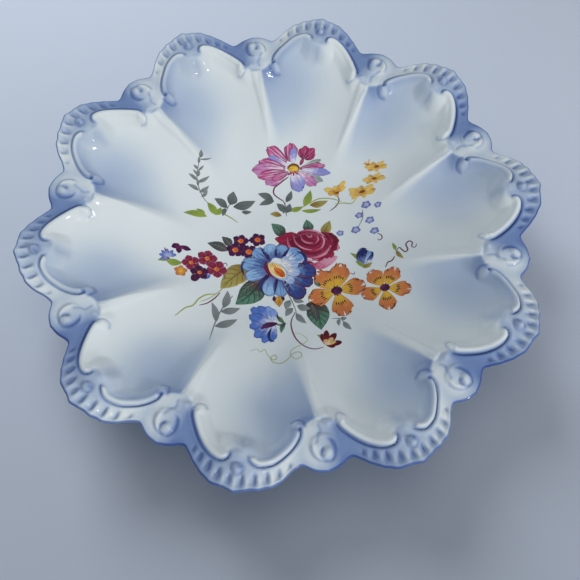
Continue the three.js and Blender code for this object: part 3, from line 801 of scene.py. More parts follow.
class Sheet:
    """Flat marks of one transfer, in the spray's own millimetres, with their inks as attributes."""

    def __init__(self):
        self.points, self.faces, self.columns = [], [], {k: [] for k in ("root", "tip", "vein", "edge")}
        self.across, self.along, self.veined, self.count = [], [], [], 0

    def mark(
            self, spine, width, ink, layer=1, belly=0.55, root=0.3, tip=0.05, blunt=1.0, bend=0.0,
            ruffle=0.0, waves=6, notch=0.0, leaf=0.0, cells=(6, 11)):
        """A petal, leaf or stroke along its spine, wide at the belly, with root and tip widths as shares."""
        line = flowing(spine, 8) if len(spine) > 2 else np.linspace(spine[0], spine[1], 9)
        steps = np.concatenate([[0], np.cumsum(np.hypot(*np.diff(line, axis=0).T))])
        length = steps[-1]
        s, a = np.meshgrid(np.linspace(0, 1, cells[1] + 1), np.linspace(-1, 1, cells[0] + 1), indexing="ij")
        shaped = s * (1 - (0.18 * min(tip * 1.6, 1) + notch) * s**3 * np.abs(a) ** 3) if tip > 0.3 else s
        shaped = shaped + ruffle * s**4 * np.cos(waves * math.pi * a + 1.3 * self.count)
        shaped = shaped - notch * s**5 * hill(a, 0.22)
        reach = np.clip(shaped, 0, 1.2) * length
        (cx, cy), (ax, ay), (bx, by) = (
            (np.interp(at, steps, line[:, 0]), np.interp(at, steps, line[:, 1]))
            for at in (reach, np.minimum(reach + LOOK_AHEAD, length), reach - LOOK_AHEAD))
        dx, dy = ax - bx, ay - by
        size = np.maximum(np.hypot(dx, dy), 1e-6)
        dx, dy = dx / size, dy / size
        beyond = np.maximum(reach - length, 0)
        low = root + (1 - root) * np.sin(math.pi / 2 * np.clip(s / belly, 0, 1)) ** 0.9
        high = tip + (1 - tip) * np.cos(math.pi / 2 * np.clip((s - belly) / (1 - belly), 0, 1)) ** (1 / blunt)
        frill = 1 + 0.6 * ruffle * np.cos(waves * 2.2 * s * math.pi + self.count)
        half = width / 2 * np.where(s < belly, low, high) * frill
        sway = bend * length * 4 * s * (1 - s)
        x = cx + dx * beyond + dy * (a * half + sway)
        y = cy + dy * beyond - dx * (a * half + sway)
        lift = INK_THICKNESS + INK_STEP * layer + OVERLAP_STEP * (self.count % OVERLAP_STEPS)
        first, rows, across = len(self.points), cells[1] + 1, cells[0] + 1
        for height in (lift, -INK_KEY):
            self.points += list(zip(x.ravel(), y.ravel(), np.full(x.size, height)))
        under = rows * across
        for i in range(rows - 1):
            for j in range(across - 1):
                p, q = first + i * across + j, first + (i + 1) * across + j
                self.faces.append((p, q, q + 1, p + 1))
                self.faces.append((under + p, under + p + 1, under + q + 1, under + q))
        rim = [i * across for i in range(rows)] + [(rows - 1) * across + j for j in range(1, across)]
        rim += [i * across + across - 1 for i in range(rows - 2, -1, -1)] + list(range(across - 2, 0, -1))
        for p, q in zip(rim, rim[1:] + rim[:1]):
            self.faces.append((first + q, first + p, first + under + p, first + under + q))
        for key, color in zip(self.columns, INKS[ink]):
            value = linear(color) if isinstance(color, str) else linear(*color)
            self.columns[key] += [value] * (2 * under)
        self.across += list(a.ravel()) * 2
        self.along += list(s.ravel()) * 2
        self.veined += [leaf] * (2 * under)
        self.count += 1

    def leaf(self, root, tip, width, ink, layer=1, bend=0.06, teeth=0.0):
        """A pointed leaf with a midrib and slanting veins."""
        self.mark(
            [root, tip], width, ink, layer, belly=0.42, root=0.06, tip=0.03, bend=bend, ruffle=teeth,
            waves=9, leaf=1.0)

    def stroke(self, spine, width, ink, layer=0):
        """A stem or tendril."""
        self.mark(spine, width, ink, layer, belly=0.4, root=0.5, tip=0.3, blunt=2, cells=(2, 6 * len(spine)))

    def disc(self, centre, long, short, turn, ink, layer=8):
        """An oval dab, with its long way turned by some degrees."""
        c, s = math.cos(math.radians(turn)), math.sin(math.radians(turn))
        ends = [(centre[0] + way * c * long / 2, centre[1] + way * s * long / 2) for way in (-1, 1)]
        self.mark(ends, short, ink, layer, belly=0.5, root=0.08, tip=0.08, blunt=1.9, cells=(6, 10))

    def blossom(
            self, centre, radius, petals, ink, eye, layer=2, turn=0.0, squash=1.0, share=1.0, eye_size=0.3):
        """A small open flower: petals round a middle."""
        for i in range(petals):
            a = math.radians(turn + 360 * i / petals)
            tip = (centre[0] + radius * math.cos(a), centre[1] + radius * squash * math.sin(a))
            width = share * 2 * math.pi * radius / petals * 0.62
            self.mark(
                [centre, tip], width, ink, layer, root=0.2, tip=0.5, belly=0.68, blunt=1.9, cells=(6, 8))
        self.disc(centre, 2 * radius * eye_size, 2 * radius * eye_size * squash, 0, eye, layer + 1)

    def mesh(self, name):
        """The sheet as a mesh, turned to lie as the spray does."""
        mesh = bpy.data.meshes.new(name)
        c, s = math.cos(SPRAY_TURN), math.sin(SPRAY_TURN)
        points = [Vector((x * c - y * s, x * s + y * c, z)) * MM for x, y, z in self.points]
        mesh.from_pydata(points, [], self.faces)
        for key, colors in self.columns.items():
            layer = mesh.attributes.new("ink_" + key, "FLOAT_COLOR", "POINT")
            layer.data.foreach_set("color", np.array(colors, np.float32).ravel())
        for key, values in (("across", self.across), ("along", self.along), ("veined", self.veined)):
            mesh.attributes.new(key, "FLOAT", "POINT").data.foreach_set("value", np.array(values, np.float32))
        return mesh


def fired_transfer_tree():
    """Drops every point of a flat drawing onto the glaze, and lifts it there by its own height."""
    tree, given, result = new_tree("fired transfer", [
        ("Drawing", "INPUT", "Geometry", None), ("Glazed Bowl", "INPUT", "Object", None),
        ("Drop From", "INPUT", "Float", 0.0), ("Enamel", "INPUT", "Material", None),
        ("Transfer", "OUTPUT", "Geometry", None),
    ])
    n = tree.nodes
    bowl_info, place, parts, above = (
        n.new("GeometryNodeObjectInfo"), n.new("GeometryNodeInputPosition"), n.new("ShaderNodeSeparateXYZ"),
        n.new("ShaderNodeCombineXYZ"))
    ray, height, lift = (
        n.new("GeometryNodeRaycast"), n.new("ShaderNodeCombineXYZ"), n.new("ShaderNodeVectorMath"))
    put, real, smooth, paint = (
        n.new("GeometryNodeSetPosition"), n.new("GeometryNodeRealizeInstances"),
        n.new("GeometryNodeSetShadeSmooth"), n.new("GeometryNodeSetMaterial"))
    lift.operation = "MULTIPLY_ADD"
    ray.inputs["Ray Direction"].default_value = (0, 0, -1)
    ray.inputs["Ray Length"].default_value = 1
    for axis in "XYZ":
        wire(tree, (parts.outputs["Z"], height.inputs[axis]))
    wire(tree,
         (given.outputs["Glazed Bowl"], bowl_info.inputs["Object"]), (place.outputs[0], parts.inputs[0]),
         (parts.outputs["X"], above.inputs["X"]), (parts.outputs["Y"], above.inputs["Y"]),
         (given.outputs["Drop From"], above.inputs["Z"]), (above.outputs[0], ray.inputs["Source Position"]),
         (bowl_info.outputs["Geometry"], ray.inputs["Target Geometry"]),
         (ray.outputs["Hit Normal"], lift.inputs[0]), (height.outputs[0], lift.inputs[1]),
         (ray.outputs["Hit Position"], lift.inputs[2]), (given.outputs["Drawing"], put.inputs["Geometry"]),
         (lift.outputs[0], put.inputs["Position"]), (put.outputs[0], real.inputs[0]),
         (real.outputs[0], smooth.inputs[0]), (smooth.outputs[0], paint.inputs["Geometry"]),
         (given.outputs["Enamel"], paint.inputs["Material"]), (paint.outputs[0], result.inputs[0]))
    return tree


def brushed_ink_group():
    """Ink shaded from root to tip, with fine streaks, leaf veins and a drawn edge."""
    tree, given, result = new_tree("brushed ink", [
        ("Root", "INPUT", "Color", None), ("Tip", "INPUT", "Color", None),
        ("Vein", "INPUT", "Color", None), ("Vein Strength", "INPUT", "Float", 0.5),
        ("Edge", "INPUT", "Color", None), ("Edge Strength", "INPUT", "Float", 0.5),
        ("Across", "INPUT", "Float", 0), ("Along", "INPUT", "Float", 0), ("Veined", "INPUT", "Float", 0),
        ("Position", "INPUT", "Vector", None), ("Color", "OUTPUT", "Color", None),
    ], "ShaderNodeTree")
    n = tree.nodes

    def value(*terms, clamp=False):
        return calculated(tree, *terms, clamp=clamp)

    def stepped(item, start, end):
        node = n.new("ShaderNodeMapRange")
        node.interpolation_type = "SMOOTHSTEP"
        node.inputs["From Min"].default_value, node.inputs["From Max"].default_value = start, end
        tree.links.new(item, node.inputs["Value"])
        return node.outputs[0]

    across, along, veined = (given.outputs[name] for name in ("Across", "Along", "Veined"))
    fan, split = n.new("ShaderNodeCombineXYZ"), n.new("ShaderNodeSeparateXYZ")
    wire(tree,
         (given.outputs["Position"], split.inputs[0]), (value("MULTIPLY", across, 5.5), fan.inputs["X"]),
         (value("MULTIPLY", along, 1.4), fan.inputs["Y"]),
         (value("MULTIPLY", split.outputs["X"], 90), fan.inputs["Z"]))
    mottle, streaks = noise(tree, given.outputs["Position"], 480, 3), noise(tree, fan.outputs[0], 1, 2)
    shade = value("ADD", along, value("MULTIPLY_ADD", mottle, 0.7, -0.35))
    color = mixed(tree, stepped(shade, 0.12, 0.7), given.outputs["Root"], given.outputs["Tip"])
    streak = value("MULTIPLY", stepped(streaks, 0.47, 0.66), value("SUBTRACT", 1, veined))
    side = value("ABSOLUTE", across)
    slanted = value("MULTIPLY_ADD", side, -1.5, value("MULTIPLY", along, 6))
    wave = value("ABSOLUTE", value("SUBTRACT", value("FRACT", slanted), 0.5))
    veins = value("MAXIMUM", stepped(wave, 0.14, 0.05), stepped(side, 0.14, 0.05))
    lines = value("MAXIMUM", streak, value("MULTIPLY", veins, veined))
    near_edge = value("MAXIMUM", stepped(side, 0.72, 0.98), stepped(along, 0.9, 1.0))
    for name, marks in (("Vein", lines), ("Edge", near_edge)):
        share = value("MULTIPLY", marks, given.outputs[name + " Strength"], clamp=True)
        color = mixed(tree, share, color, given.outputs[name])
    wire(tree, (color, result.inputs["Color"]))
    return tree


BRUSHED_INK = brushed_ink_group()


def enamel():
    """Fired enamel that takes its inks from the marks themselves."""
    material, tree, body, place = start_material("fired_enamel")
    ink = group_node(tree, BRUSHED_INK)
    for key, socket in (("root", "Root"), ("tip", "Tip"), ("vein", "Vein"), ("edge", "Edge")):
        read = tree.nodes.new("ShaderNodeAttribute")
        read.attribute_name = "ink_" + key
        wire(tree, (read.outputs["Color"], ink.inputs[socket]))
        if key in ("vein", "edge"):
            wire(tree, (read.outputs["Alpha"], ink.inputs[socket + " Strength"]))
    for key, socket in (("across", "Across"), ("along", "Along"), ("veined", "Veined")):
        read = tree.nodes.new("ShaderNodeAttribute")
        read.attribute_name = key
        wire(tree, (read.outputs["Fac"], ink.inputs[socket]))
    skin = group_node(tree, GLAZE_SKIN, Roughness=0.16)
    wire(tree,
         (place, ink.inputs["Position"]), (place, skin.inputs["Position"]),
         (ink.outputs["Color"], body.inputs["Base Color"]),
         (skin.outputs["Roughness"], body.inputs["Roughness"]))
    return material


FIRED_TRANSFER = fired_transfer_tree()
ENAMEL = enamel()
# Height over the table from which a drawing drops onto the glaze.
DROP_FROM = 100 * MM


def fire_on(name, sheet, node):
    """Lays a sheet's marks on the glaze as one piece that stands for its CAD node."""
    drawing = piece(name + "_drawing", sheet.mesh(name))
    fired = piece(name, run_tree(
        drawing, FIRED_TRANSFER, {"Glazed Bowl": bowl, "Drop From": DROP_FROM, "Enamel": ENAMEL}))
    bpy.data.objects.remove(drawing)
    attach(fired, "root")
    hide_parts(node)


bouquet = Sheet()
bouquet.leaf((-33, 0.5), (-45, 3.5), 6, "dark leaf", 0)
bouquet.leaf((-31, 3), (-37, 9), 5, "dark leaf", 0)
bouquet.leaf((-19, -9), (-36, -25), 13, "olive leaf", 0, teeth=0.02)
bouquet.leaf((-12, -17), (-27, -34.5), 14, "green leaf", 1, bend=-0.05)
bouquet.mark([(-13, -18), (-21, -23), (-26, -31)], 5.5, "maroon leaf", 2, leaf=1.0)
bouquet.leaf((0, 10), (-8, 19), 7, "green leaf", 0)
bouquet.leaf((22, 12), (27, 21), 6, "olive leaf", 0)
bouquet.leaf((14, 13), (13, 22), 6.5, "green leaf", 0)
for middle, radius, turn in (((-29, 1), 5.4, 20), ((-21, 0), 5.6, 50), ((-26, 7), 5, 5), ((-16, 8), 5.2, 40)):
    bouquet.blossom(middle, radius, 5, "purple", "orange eye", 1, turn=turn, squash=0.85, eye_size=0.34)
for tip, width in (((-6, 9), 7), ((-4, 4), 7), ((0, 12), 8)):
    bouquet.mark([(10, 6), tip], width, "rose back", 2, root=0.7, tip=0.5, blunt=1.6, ruffle=0.03)
for tip, width in (
    ((29, 12), 9), ((33, 8), 8), ((33, 3), 7), ((29, -2), 9), ((22, -5), 9), ((18, 14), 12), ((8, 14), 10),
):
    bouquet.mark([(15, 5), tip], width, "rose back", 3, root=0.6, tip=0.55, blunt=1.6, ruffle=0.04)
bouquet.mark(
    [(14, -8.5), (22, -8), (31, -2.5)], 5.6, "rose pink", 3, belly=0.5, root=0.2, tip=0.15, blunt=1.6)
bouquet.disc((15, 5), 26, 17, -8, "rose", 4)
for spine, width, ink in (
    ([(26, 13), (30, 9), (29, 3.5), (25.5, 0)], 3.4, "rose core"),
    ([(4, 4), (5.5, -1), (10, -5), (17, -6.8)], 2.6, "rose core"),
    ([(22, 13.5), (26.2, 9.5), (26, 4.5), (22, 1)], 2.4, "rose back"),
    ([(28, 8), (31.5, 5), (31, 0.5)], 1.0, "rose light"),
    ([(1.5, 10), (2.6, 4.5), (6.5, 0), (12, -2.6)], 1.3, "rose light"),
    ([(12.5, -3.4), (19, -3), (24.5, 0.2), (27.6, 4.8)], 1.5, "rose light"),
    ([(4, 11), (5.6, 5), (10, 1), (17, -0.6), (23, 2.2), (25, 8)], 1.5, "rose core"),
    ([(5, 12), (6.6, 6.4), (11, 2.8), (16.5, 1.6)], 1.0, "rose light"),
    ([(17.5, 1.2), (22, 3.4), (23.4, 8), (22, 11.5)], 1.2, "rose pink"),
    ([(7, 12.4), (9, 7.4), (12.5, 5), (18, 4.4), (21, 7.6), (20.3, 11.5)], 1.6, "rose core"),
    ([(9.4, 12), (10.4, 8.4), (13.4, 6.4), (17, 6.4)], 0.8, "rose light"),
    ([(18, 6), (20, 8.4), (19.4, 11)], 0.8, "rose light"),
    ([(11.6, 12), (12.6, 9.4), (15, 8.2), (17.4, 9.4), (17, 11.6)], 0.9, "rose core"),
    ([(12.8, 12.4), (14, 10.4), (16, 10.6), (15.8, 12)], 0.7, "rose light"),
    ([(4, 2), (9, -3), (15, -5.2), (20, -4.6)], 1.1, "rose pink"),
    ([(8, 13.4), (13, 14.8), (19, 14), (24, 11)], 1.1, "rose light"),
):
    bouquet.mark(spine, width, ink, 5, belly=0.5, root=0.15, tip=0.1, blunt=1.7, cells=(4, 22))
for root, tip, width, ink in (
    ((-8, -6), (-18.5, 1.2), 8.5, "anemone"), ((-6.5, -4), (-9.5, 5.2), 8.5, "anemone light"),
    ((-3, -4), (-1, 5), 8, "anemone"), ((-9, -10), (-25, -7.5), 10, "anemone"),
    ((-9, -12), (-22.5, -16.5), 8, "anemone light"), ((-5, -15), (-9.5, -28), 10, "anemone light"),
    ((-2, -15), (-1.5, -28.5), 9, "anemone"), ((0, -15), (11, -29), 10.5, "anemone deep"),
    ((3, -14), (16.5, -20), 8.5, "anemone deep"), ((3, -11), (18.5, -12.5), 10, "anemone deep"),
    ((2, -6), (9.5, 1), 12, "anemone pale"),
):
    bouquet.mark(
        [root, tip], width, ink, 6, belly=0.62, root=0.4, tip=0.3, blunt=1.5, ruffle=0.03, cells=(10, 12))
for root, tip, width in (
    ((-8.5, -5), (-14.5, 3.5), 2.2), ((-5, -3), (-5, 3.2), 1.8), ((-1, -3.2), (3.2, 3.2), 2),
    ((6.5, -8.5), (15, -7), 2.4), ((4, -13), (15.5, -16.6), 1.6), ((3, -15.5), (13.2, -24), 2),
    ((0, -16.5), (4, -27.5), 2.4), ((-4, -17), (-5.6, -27.5), 1.6), ((-8.5, -14), (-15.5, -22), 2.6),
    ((-10, -11), (-22, -12.2), 1.6), ((-10, -8), (-21, -3), 2.2),
):
    bouquet.mark([root, tip], width, "shadow", 6, belly=0.25, root=0.5, tip=0.06, cells=(4, 8))
bouquet.mark([(11.5, -9), (12.6, -5), (11, -1), (7, 0.8)], 2.0, "navy curl", 7, belly=0.5, root=0.2, tip=0.1)
bouquet.mark([(-12, -19), (-13.5, -23), (-11, -27)], 1.1, "navy curl", 7, belly=0.5, root=0.1, tip=0.1)
bouquet.mark([(-23, -6), (-24.8, -10), (-23, -15.5)], 1.2, "navy curl", 7, belly=0.5, root=0.1, tip=0.1)
for root, tip, width in (
    ((1, -9), (8, -6.5), 6), ((2, -12), (9, -13), 5.5), ((1, -16), (5.5, -19), 5), ((-1, -7), (2, -3), 4.5),
):
    bouquet.mark([root, tip], width, "anemone white", 7, belly=0.55, root=0.6, tip=0.3, blunt=1.6)
bouquet.disc((-3.6, -12.2), 15.5, 8.6, -42, "anemone white", 8)
bouquet.mark(
    [(-10.5, -5.8), (-11, -9.5), (-8.5, -13.5), (-4.5, -17.3)], 2.6, "rose core", 8, belly=0.5, root=0.1,
    tip=0.1)
bouquet.disc((-4.4, -11.6), 13.6, 7.6, -42, "cup", 9)
bouquet.disc((-2.8, -13), 8.6, 4.4, -42, "core", 10)
for i in range(9):
    t = -1 + i / 4
    x, y = -4.2 + 4.4 * t * 0.74, -11.6 - 4.4 * t * 0.67
    bouquet.mark([(x, y), (x + 1.1, y + 1.6)], 0.5, "core", 11, cells=(2, 3))
bouquet.mark([(-4, -28.5), (-3, -31), (-2.6, -34.8)], 5, "bud yellow", 4, belly=0.35, root=0.6, tip=0.05)
bouquet.mark([(-5.5, -28), (-5.6, -31.5)], 2, "maroon dark", 5)
bouquet.mark([(-1, -27.5), (-0.2, -31)], 2, "maroon dark", 5)
for centre, turn in (((15, -18), 20), ((19.5, -20.3), 160)):
    bouquet.disc(centre, 3.6, 2.2, turn, "green leaf", 3)
for root, tip, width in (
    ((3.5, -30.5), (1, -36.5), 4), ((5, -29.5), (11.5, -31.5), 3.2), ((5, -35.5), (1, -41), 3.8),
    ((6.8, -39), (12.5, -46), 3.8), ((7.5, -34), (15, -36), 4.4),
):
    bouquet.leaf(root, tip, width, "grey leaf", 2)
bouquet.stroke([(2, -26), (4.5, -31), (6, -35), (7.2, -39)], 0.6, "stem grey", 1)
fire_on("transfer_main_bouquet", bouquet, "print_main_bouquet")

# ---------------------------------------------------------------- pink cosmos
# The large open flower at the top of the spray, pink and lilac round a yellow middle, with a closed
# crimson bud and a thin stem. Its petals are shaded by fine brush lines.

cosmos = Sheet()
cosmos.stroke(
    [(2, 48.5), (-3, 45), (-6.5, 42), (-6.8, 38.5), (-4, 36), (-1, 34), (0, 31.5)], 0.9, "stem maroon", 0)
cosmos.mark([(9, 55), (11, 59)], 2.2, "cosmos bud", 0)
for root, tip, width, ink, layer in (
    ((1, 57), (-11.5, 63), 8, "cosmos", 1), ((3, 57), (3.5, 67.5), 8.5, "cosmos", 1),
    ((4.5, 56), (5, 65), 4.5, "cosmos lilac", 2), ((1, 55), (-11, 58), 5, "cosmos lilac", 2),
    ((0, 53.5), (-16.5, 56), 5.5, "cosmos", 2), ((9, 53), (21.5, 57), 3.6, "cosmos green", 1),
    ((9, 53), (24, 53.5), 5, "cosmos", 2), ((10, 52.5), (27.5, 49), 4.2, "cosmos lilac", 3),
    ((8, 51), (23, 45), 4.6, "cosmos green", 3), ((8, 51), (19, 43), 6, "cosmos pale", 4),
    ((5, 51), (9.5, 40), 9, "cosmos lilac", 4), ((1, 51), (-12, 44), 7, "cosmos pale", 3),
    ((-1, 52.5), (-20.5, 51), 7.5, "cosmos pale", 3), ((0, 51.5), (-17, 47.5), 5.5, "cosmos", 4),
    ((2, 51), (-8, 46.5), 4, "cosmos", 5),
):
    cosmos.mark(
        [root, tip], width, ink, layer, belly=0.68, root=0.3, tip=0.45, blunt=1.6, ruffle=0.03,
        cells=(8, 12))
for tip, width in (((8.5, 64.5), 5), ((12, 66), 6), ((17.5, 64), 5), ((18, 60.5), 4)):
    cosmos.mark(
        [(12, 58.5), tip], width, "cosmos bud", 3, belly=0.6, root=0.4, tip=0.5, blunt=1.6, ruffle=0.04)
cosmos.disc((5, 53.3), 7.6, 5.4, 0, "brown", 7)
cosmos.disc((4.8, 52.9), 6.2, 4.2, 0, "gold", 8)
for i in range(7):
    t = math.radians(15 + 25 * i)
    cosmos.disc((5 + 3.4 * math.cos(t), 53.4 + 2.3 * math.sin(t)), 0.9, 0.7, 0, "brown", 9)
for tip in ((1.5, 49.3), (5, 48.8), (8.4, 49.6)):
    cosmos.mark([(5, 51.8), tip], 1.2, "cosmos bud", 8, cells=(3, 4))
fire_on("transfer_pink_cosmos", cosmos, "print_pink_cosmos")

# ---------------------------------------------------------------- two orange flowers
# Five-petalled orange flowers on the right of the spray, yellow towards their plum middles, with
# short dark lines on the yellow. Each flower is a transfer of its own.


def orange_flower(name, node, centre, petal_tips, width, eye):
    """Notched, ruffled petals with a fan of dashes on each, round a dotted middle."""
    sheet = Sheet()
    for tip in petal_tips:
        way = np.array(tip) - np.array(centre)
        length = np.hypot(*way)
        way = way / length
        side = np.array((-way[1], way[0]))
        root = np.array(centre) + 2.0 * way
        sheet.mark(
            [tuple(root), tip], width, "orange petal", 1, belly=0.74, root=0.16, tip=0.68, blunt=1.8,
            ruffle=0.085, waves=7, notch=0.17, cells=(20, 16))
        for k in (-2, -1, 0, 1, 2):
            start = np.array(centre) + (0.46 - 0.025 * abs(k)) * length * way + 0.095 * width * k * side
            end = start + way * 2.0 + side * 0.16 * k
            sheet.mark([tuple(start), tuple(end)], 0.62, "dash", 3, root=0.6, tip=0.4, cells=(2, 3))
    dots = 9
    for i in range(dots):
        t = 2 * math.pi * i / dots
        dot = (centre[0] + eye[0] * 0.46 * math.cos(t), centre[1] + eye[1] * 0.46 * math.sin(t))
        sheet.disc(dot, 1.0, 1.0, 0, "plum", 4)
    sheet.disc(centre, eye[0], eye[1], 90 if eye[1] > eye[0] else 0, "plum", 5)
    sheet.disc(centre, eye[0] * 0.45, eye[1] * 0.45, 0, "purple", 6)
    fire_on(name, sheet, node)


orange_flower("transfer_orange_large", "print_orange_flower_large", (30, -25),
              [(33, -7), (46, -22.5), (34, -42.5), (14, -31), (18.5, -12.5)], 12, (5.4, 6.6))
orange_flower("transfer_orange_small", "print_orange_flower_small", (56, -26.5),
              [(48.5, -14.5), (62.5, -15), (69.5, -29.5), (57, -41.5), (43.5, -31)], 9.6, (5.2, 4.6))

# ---------------------------------------------------------------- maroon cluster and blue daisy
# Small five-petalled maroon flowers with orange middles at the left of the bouquet, and beyond them
# a blue daisy with a lime leaf.

cluster = Sheet()
cluster.mark([(-44, -14), (-45, -20.5)], 5, "bell", 1, tip=0.4, blunt=1.6)
cluster.mark([(-49, -17), (-51, -23)], 4.5, "maroon dark", 1, tip=0.3, blunt=1.6)
for middle, radius, turn, ink in (
    ((-48, -16.5), 5.2, 30, "maroon dark"), ((-44.5, -6.5), 5.8, 10, "maroon"),
    ((-53, -11), 5.2, 45, "maroon"), ((-39, -12.5), 6.2, 65, "maroon"),
):
    cluster.blossom(
        middle, radius, 5, ink, "orange eye", 2, turn=turn, squash=0.92, share=1.08, eye_size=0.25)
    cluster.disc(middle, radius * 0.22, radius * 0.22, 0, "core", 5)
cluster.blossom((-58, -17.5), 3.7, 5, "orange petal", "gold", 2, turn=20, eye_size=0.25)
cluster.stroke([(-36, -15), (-34, -16.5), (-34.5, -18.5)], 0.5, "stem maroon", 1)
cluster.stroke([(-36, -9), (-34, -8), (-33, -10)], 0.5, "stem maroon", 1)
cluster.mark([(-60, -1), (-64, -3.5)], 3.2, "purple", 1)
cluster.mark([(-60, -1.5), (-60, -6.5)], 3.2, "purple", 2)
cluster.mark([(-59.5, -2), (-53.5, -3)], 3.0, "purple", 2)
fire_on("transfer_maroon_cluster", cluster, "print_maroon_cluster")

daisy = Sheet()
daisy.leaf((-66, -12.5), (-57.5, -12), 4.6, "lime", 0)
daisy.leaf((-64, -11), (-70.5, -13), 2.8, "lime", 0)
for degrees, reach in ((175, 4.6), (215, 4.2), (140, 4.6), (100, 4.6), (60, 4.8), (25, 4.8), (250, 3)):
    t = math.radians(degrees)
    tip = (-65.5 + reach * math.cos(t), -9.5 + reach * math.sin(t))
    daisy.mark([(-65.5, -9.5), tip], 2.1, "small blue", 1, tip=0.3, blunt=1.6, cells=(4, 6))
daisy.disc((-65.2, -10.6), 1.8, 1.2, 0, "brown", 3)
daisy.stroke([(-67.5, -4.5), (-67, -6.5)], 0.6, "red bud", 2)
fire_on("transfer_blue_daisy", daisy, "print_blue_daisy")

# ---------------------------------------------------------------- leaves above the bouquet
# A fern-like sprig, two groups of grey and lime leaves and their stems. Grey leaves are printed in
# one flat tone with faint veins, the green ones shade to yellow.

fern = Sheet()
fern.stroke(
    [(-44, 26.5), (-48.5, 31), (-51.2, 36.5), (-52.3, 42), (-51.5, 47.5), (-50.5, 52.5)],
    0.55, "stem grey", 0)
for root, tip, width in (
    ((-50.4, 52), (-50, 57.5), 2.2), ((-50.8, 51), (-44, 54.5), 1.0), ((-51.3, 49), (-51, 52.5), 1.5),
    ((-51.8, 46), (-54.3, 48), 1.5), ((-51.5, 45.5), (-48.3, 48.5), 1.2), ((-52, 42), (-51, 46), 1.8),
    ((-52.3, 40), (-57, 43), 2.0), ((-52, 39), (-45, 43.5), 1.9), ((-51.7, 37), (-52, 41), 1.6),
    ((-51, 34.5), (-57.5, 37), 2.3), ((-50.8, 33.5), (-45.3, 38), 2.2), ((-49.5, 31), (-46, 35.5), 2.0),
    ((-52.2, 43), (-54.5, 45.5), 1.3),
):
    fern.leaf(root, tip, width, "grey leaf", 1)
fire_on("transfer_fern_sprig", fern, "print_fern_sprig")

left_leaves = Sheet()
left_leaves.stroke([(-44, 27), (-38, 24), (-33, 22), (-28, 19)], 0.8, "stem lime", 0)
left_leaves.stroke([(-36, 23), (-34.5, 27), (-33, 30)], 0.6, "stem grey", 0)
for root, tip, width, ink in (
    ((-34.5, 27.5), (-42, 31.5), 4.6, "grey dark"), ((-33, 29.5), (-31, 37.5), 6, "grey dark"),
    ((-31, 28.5), (-18, 33.5), 5.4, "grey dark"), ((-35.5, 27), (-37, 22), 2.8, "grey dark"),
    ((-26, 26), (-20, 26.5), 2.6, "grey dark"), ((-41, 22), (-46, 28.5), 4.6, "lime"),
    ((-41, 22), (-38, 27), 3.2, "lime"), ((-46, 20), (-59, 19.5), 4, "lime"),
    ((-47, 20), (-52, 23.5), 3.2, "lime"),
):
    left_leaves.leaf(root, tip, width, ink, 1)
fire_on("transfer_leaves_left", left_leaves, "print_leaves_left")

middle_leaves = Sheet()
middle_leaves.stroke([(0, 33), (0.5, 29), (1, 24)], 0.7, "stem grey", 0)
middle_leaves.stroke([(3, 27), (12, 31), (20, 35), (28, 34.5), (34, 32)], 0.7, "stem lime", 0)
for root, tip, width, ink in (
    ((-7, 34.5), (-16.5, 38), 4.4, "grey dark"), ((-6.5, 34), (-15.5, 31), 3.6, "grey dark"),
    ((0.6, 33.5), (4, 40.5), 3.6, "grey dark"), ((0, 27), (-5, 32.5), 4.2, "grey dark"),
    ((1, 26.5), (3, 32.5), 4.0, "grey dark"), ((1, 30), (-1, 26), 3, "grey dark"),
    ((11.5, 31), (15.5, 40.5), 5, "lime"), ((15, 31.5), (26, 33.5), 4.2, "olive leaf"),
    ((3, 28), (11, 30.5), 3.4, "lime"), ((10, 28), (22, 28.5), 2.6, "lime"),
    ((-2, 24.5), (-9, 25.5), 3.6, "olive leaf"),
):
    middle_leaves.leaf(root, tip, width, ink, 1)
fire_on("transfer_leaves_middle", middle_leaves, "print_leaves_middle")

# ---------------------------------------------------------------- yellow daisies
# Ragged yellow flowers at the upper right on thin stems, seen partly from the side, with brown
# middles, and a half-open bud beside them.

yellow = Sheet()
for centre, radius, squash, count, turn in (
    ((46, 35.5), 9, 0.42, 13, 5), ((53, 42.2), 7, 0.42, 11, 20), ((54.5, 49.3), 7, 0.4, 11, 10),
    ((49.5, 51.5), 3.2, 0.7, 7, 15),
):
    for i in range(count):
        t = math.radians(turn + 360 * i / count + 7 * (i % 2))
        reach = radius * (0.82 + 0.18 * (i % 3) / 2)
        tip = (centre[0] + reach * math.cos(t), centre[1] + reach * squash * math.sin(t) + 1.2 * (i % 2))
        ink = "yellow" if i % 3 else "yellow deep"
        yellow.mark(
            [centre, tip], radius * 0.3, ink, 1 + i % 3, belly=0.7, root=0.35, tip=0.3, blunt=1.5,
            ruffle=0.06, cells=(5, 8))
    yellow.disc((centre[0], centre[1] + 0.4), radius * 0.42, radius * 0.18, 5, "brown", 5)
fire_on("transfer_yellow_daisies", yellow, "print_yellow_daisies")

yellow_bud = Sheet()
yellow_bud.stroke([(31.5, 36), (32.5, 33), (31, 30), (27, 27)], 0.7, "stem maroon", 0)
yellow_bud.stroke([(43, 33), (40, 30), (35, 31), (30, 31)], 0.6, "stem lime", 0)
for tip, width, ink in (
    ((23.5, 40.5), 3, "yellow"), ((26, 37.5), 2.8, "yellow deep"), ((29.5, 41.5), 2.6, "yellow"),
    ((33, 42), 2.8, "yellow deep"), ((36, 44), 3, "yellow"), ((36.5, 40.5), 2.8, "yellow"),
    ((31, 35.5), 2.6, "yellow deep"),
):
    yellow_bud.mark(
        [(31.5, 38), tip], width, ink, 1, belly=0.7, root=0.4, tip=0.3, blunt=1.5, ruffle=0.05,
        cells=(5, 6))
yellow_bud.disc((31.6, 37.6), 2.0, 1.2, 10, "brown", 4)
fire_on("transfer_yellow_daisy_bud", yellow_bud, "print_yellow_daisy_bud")

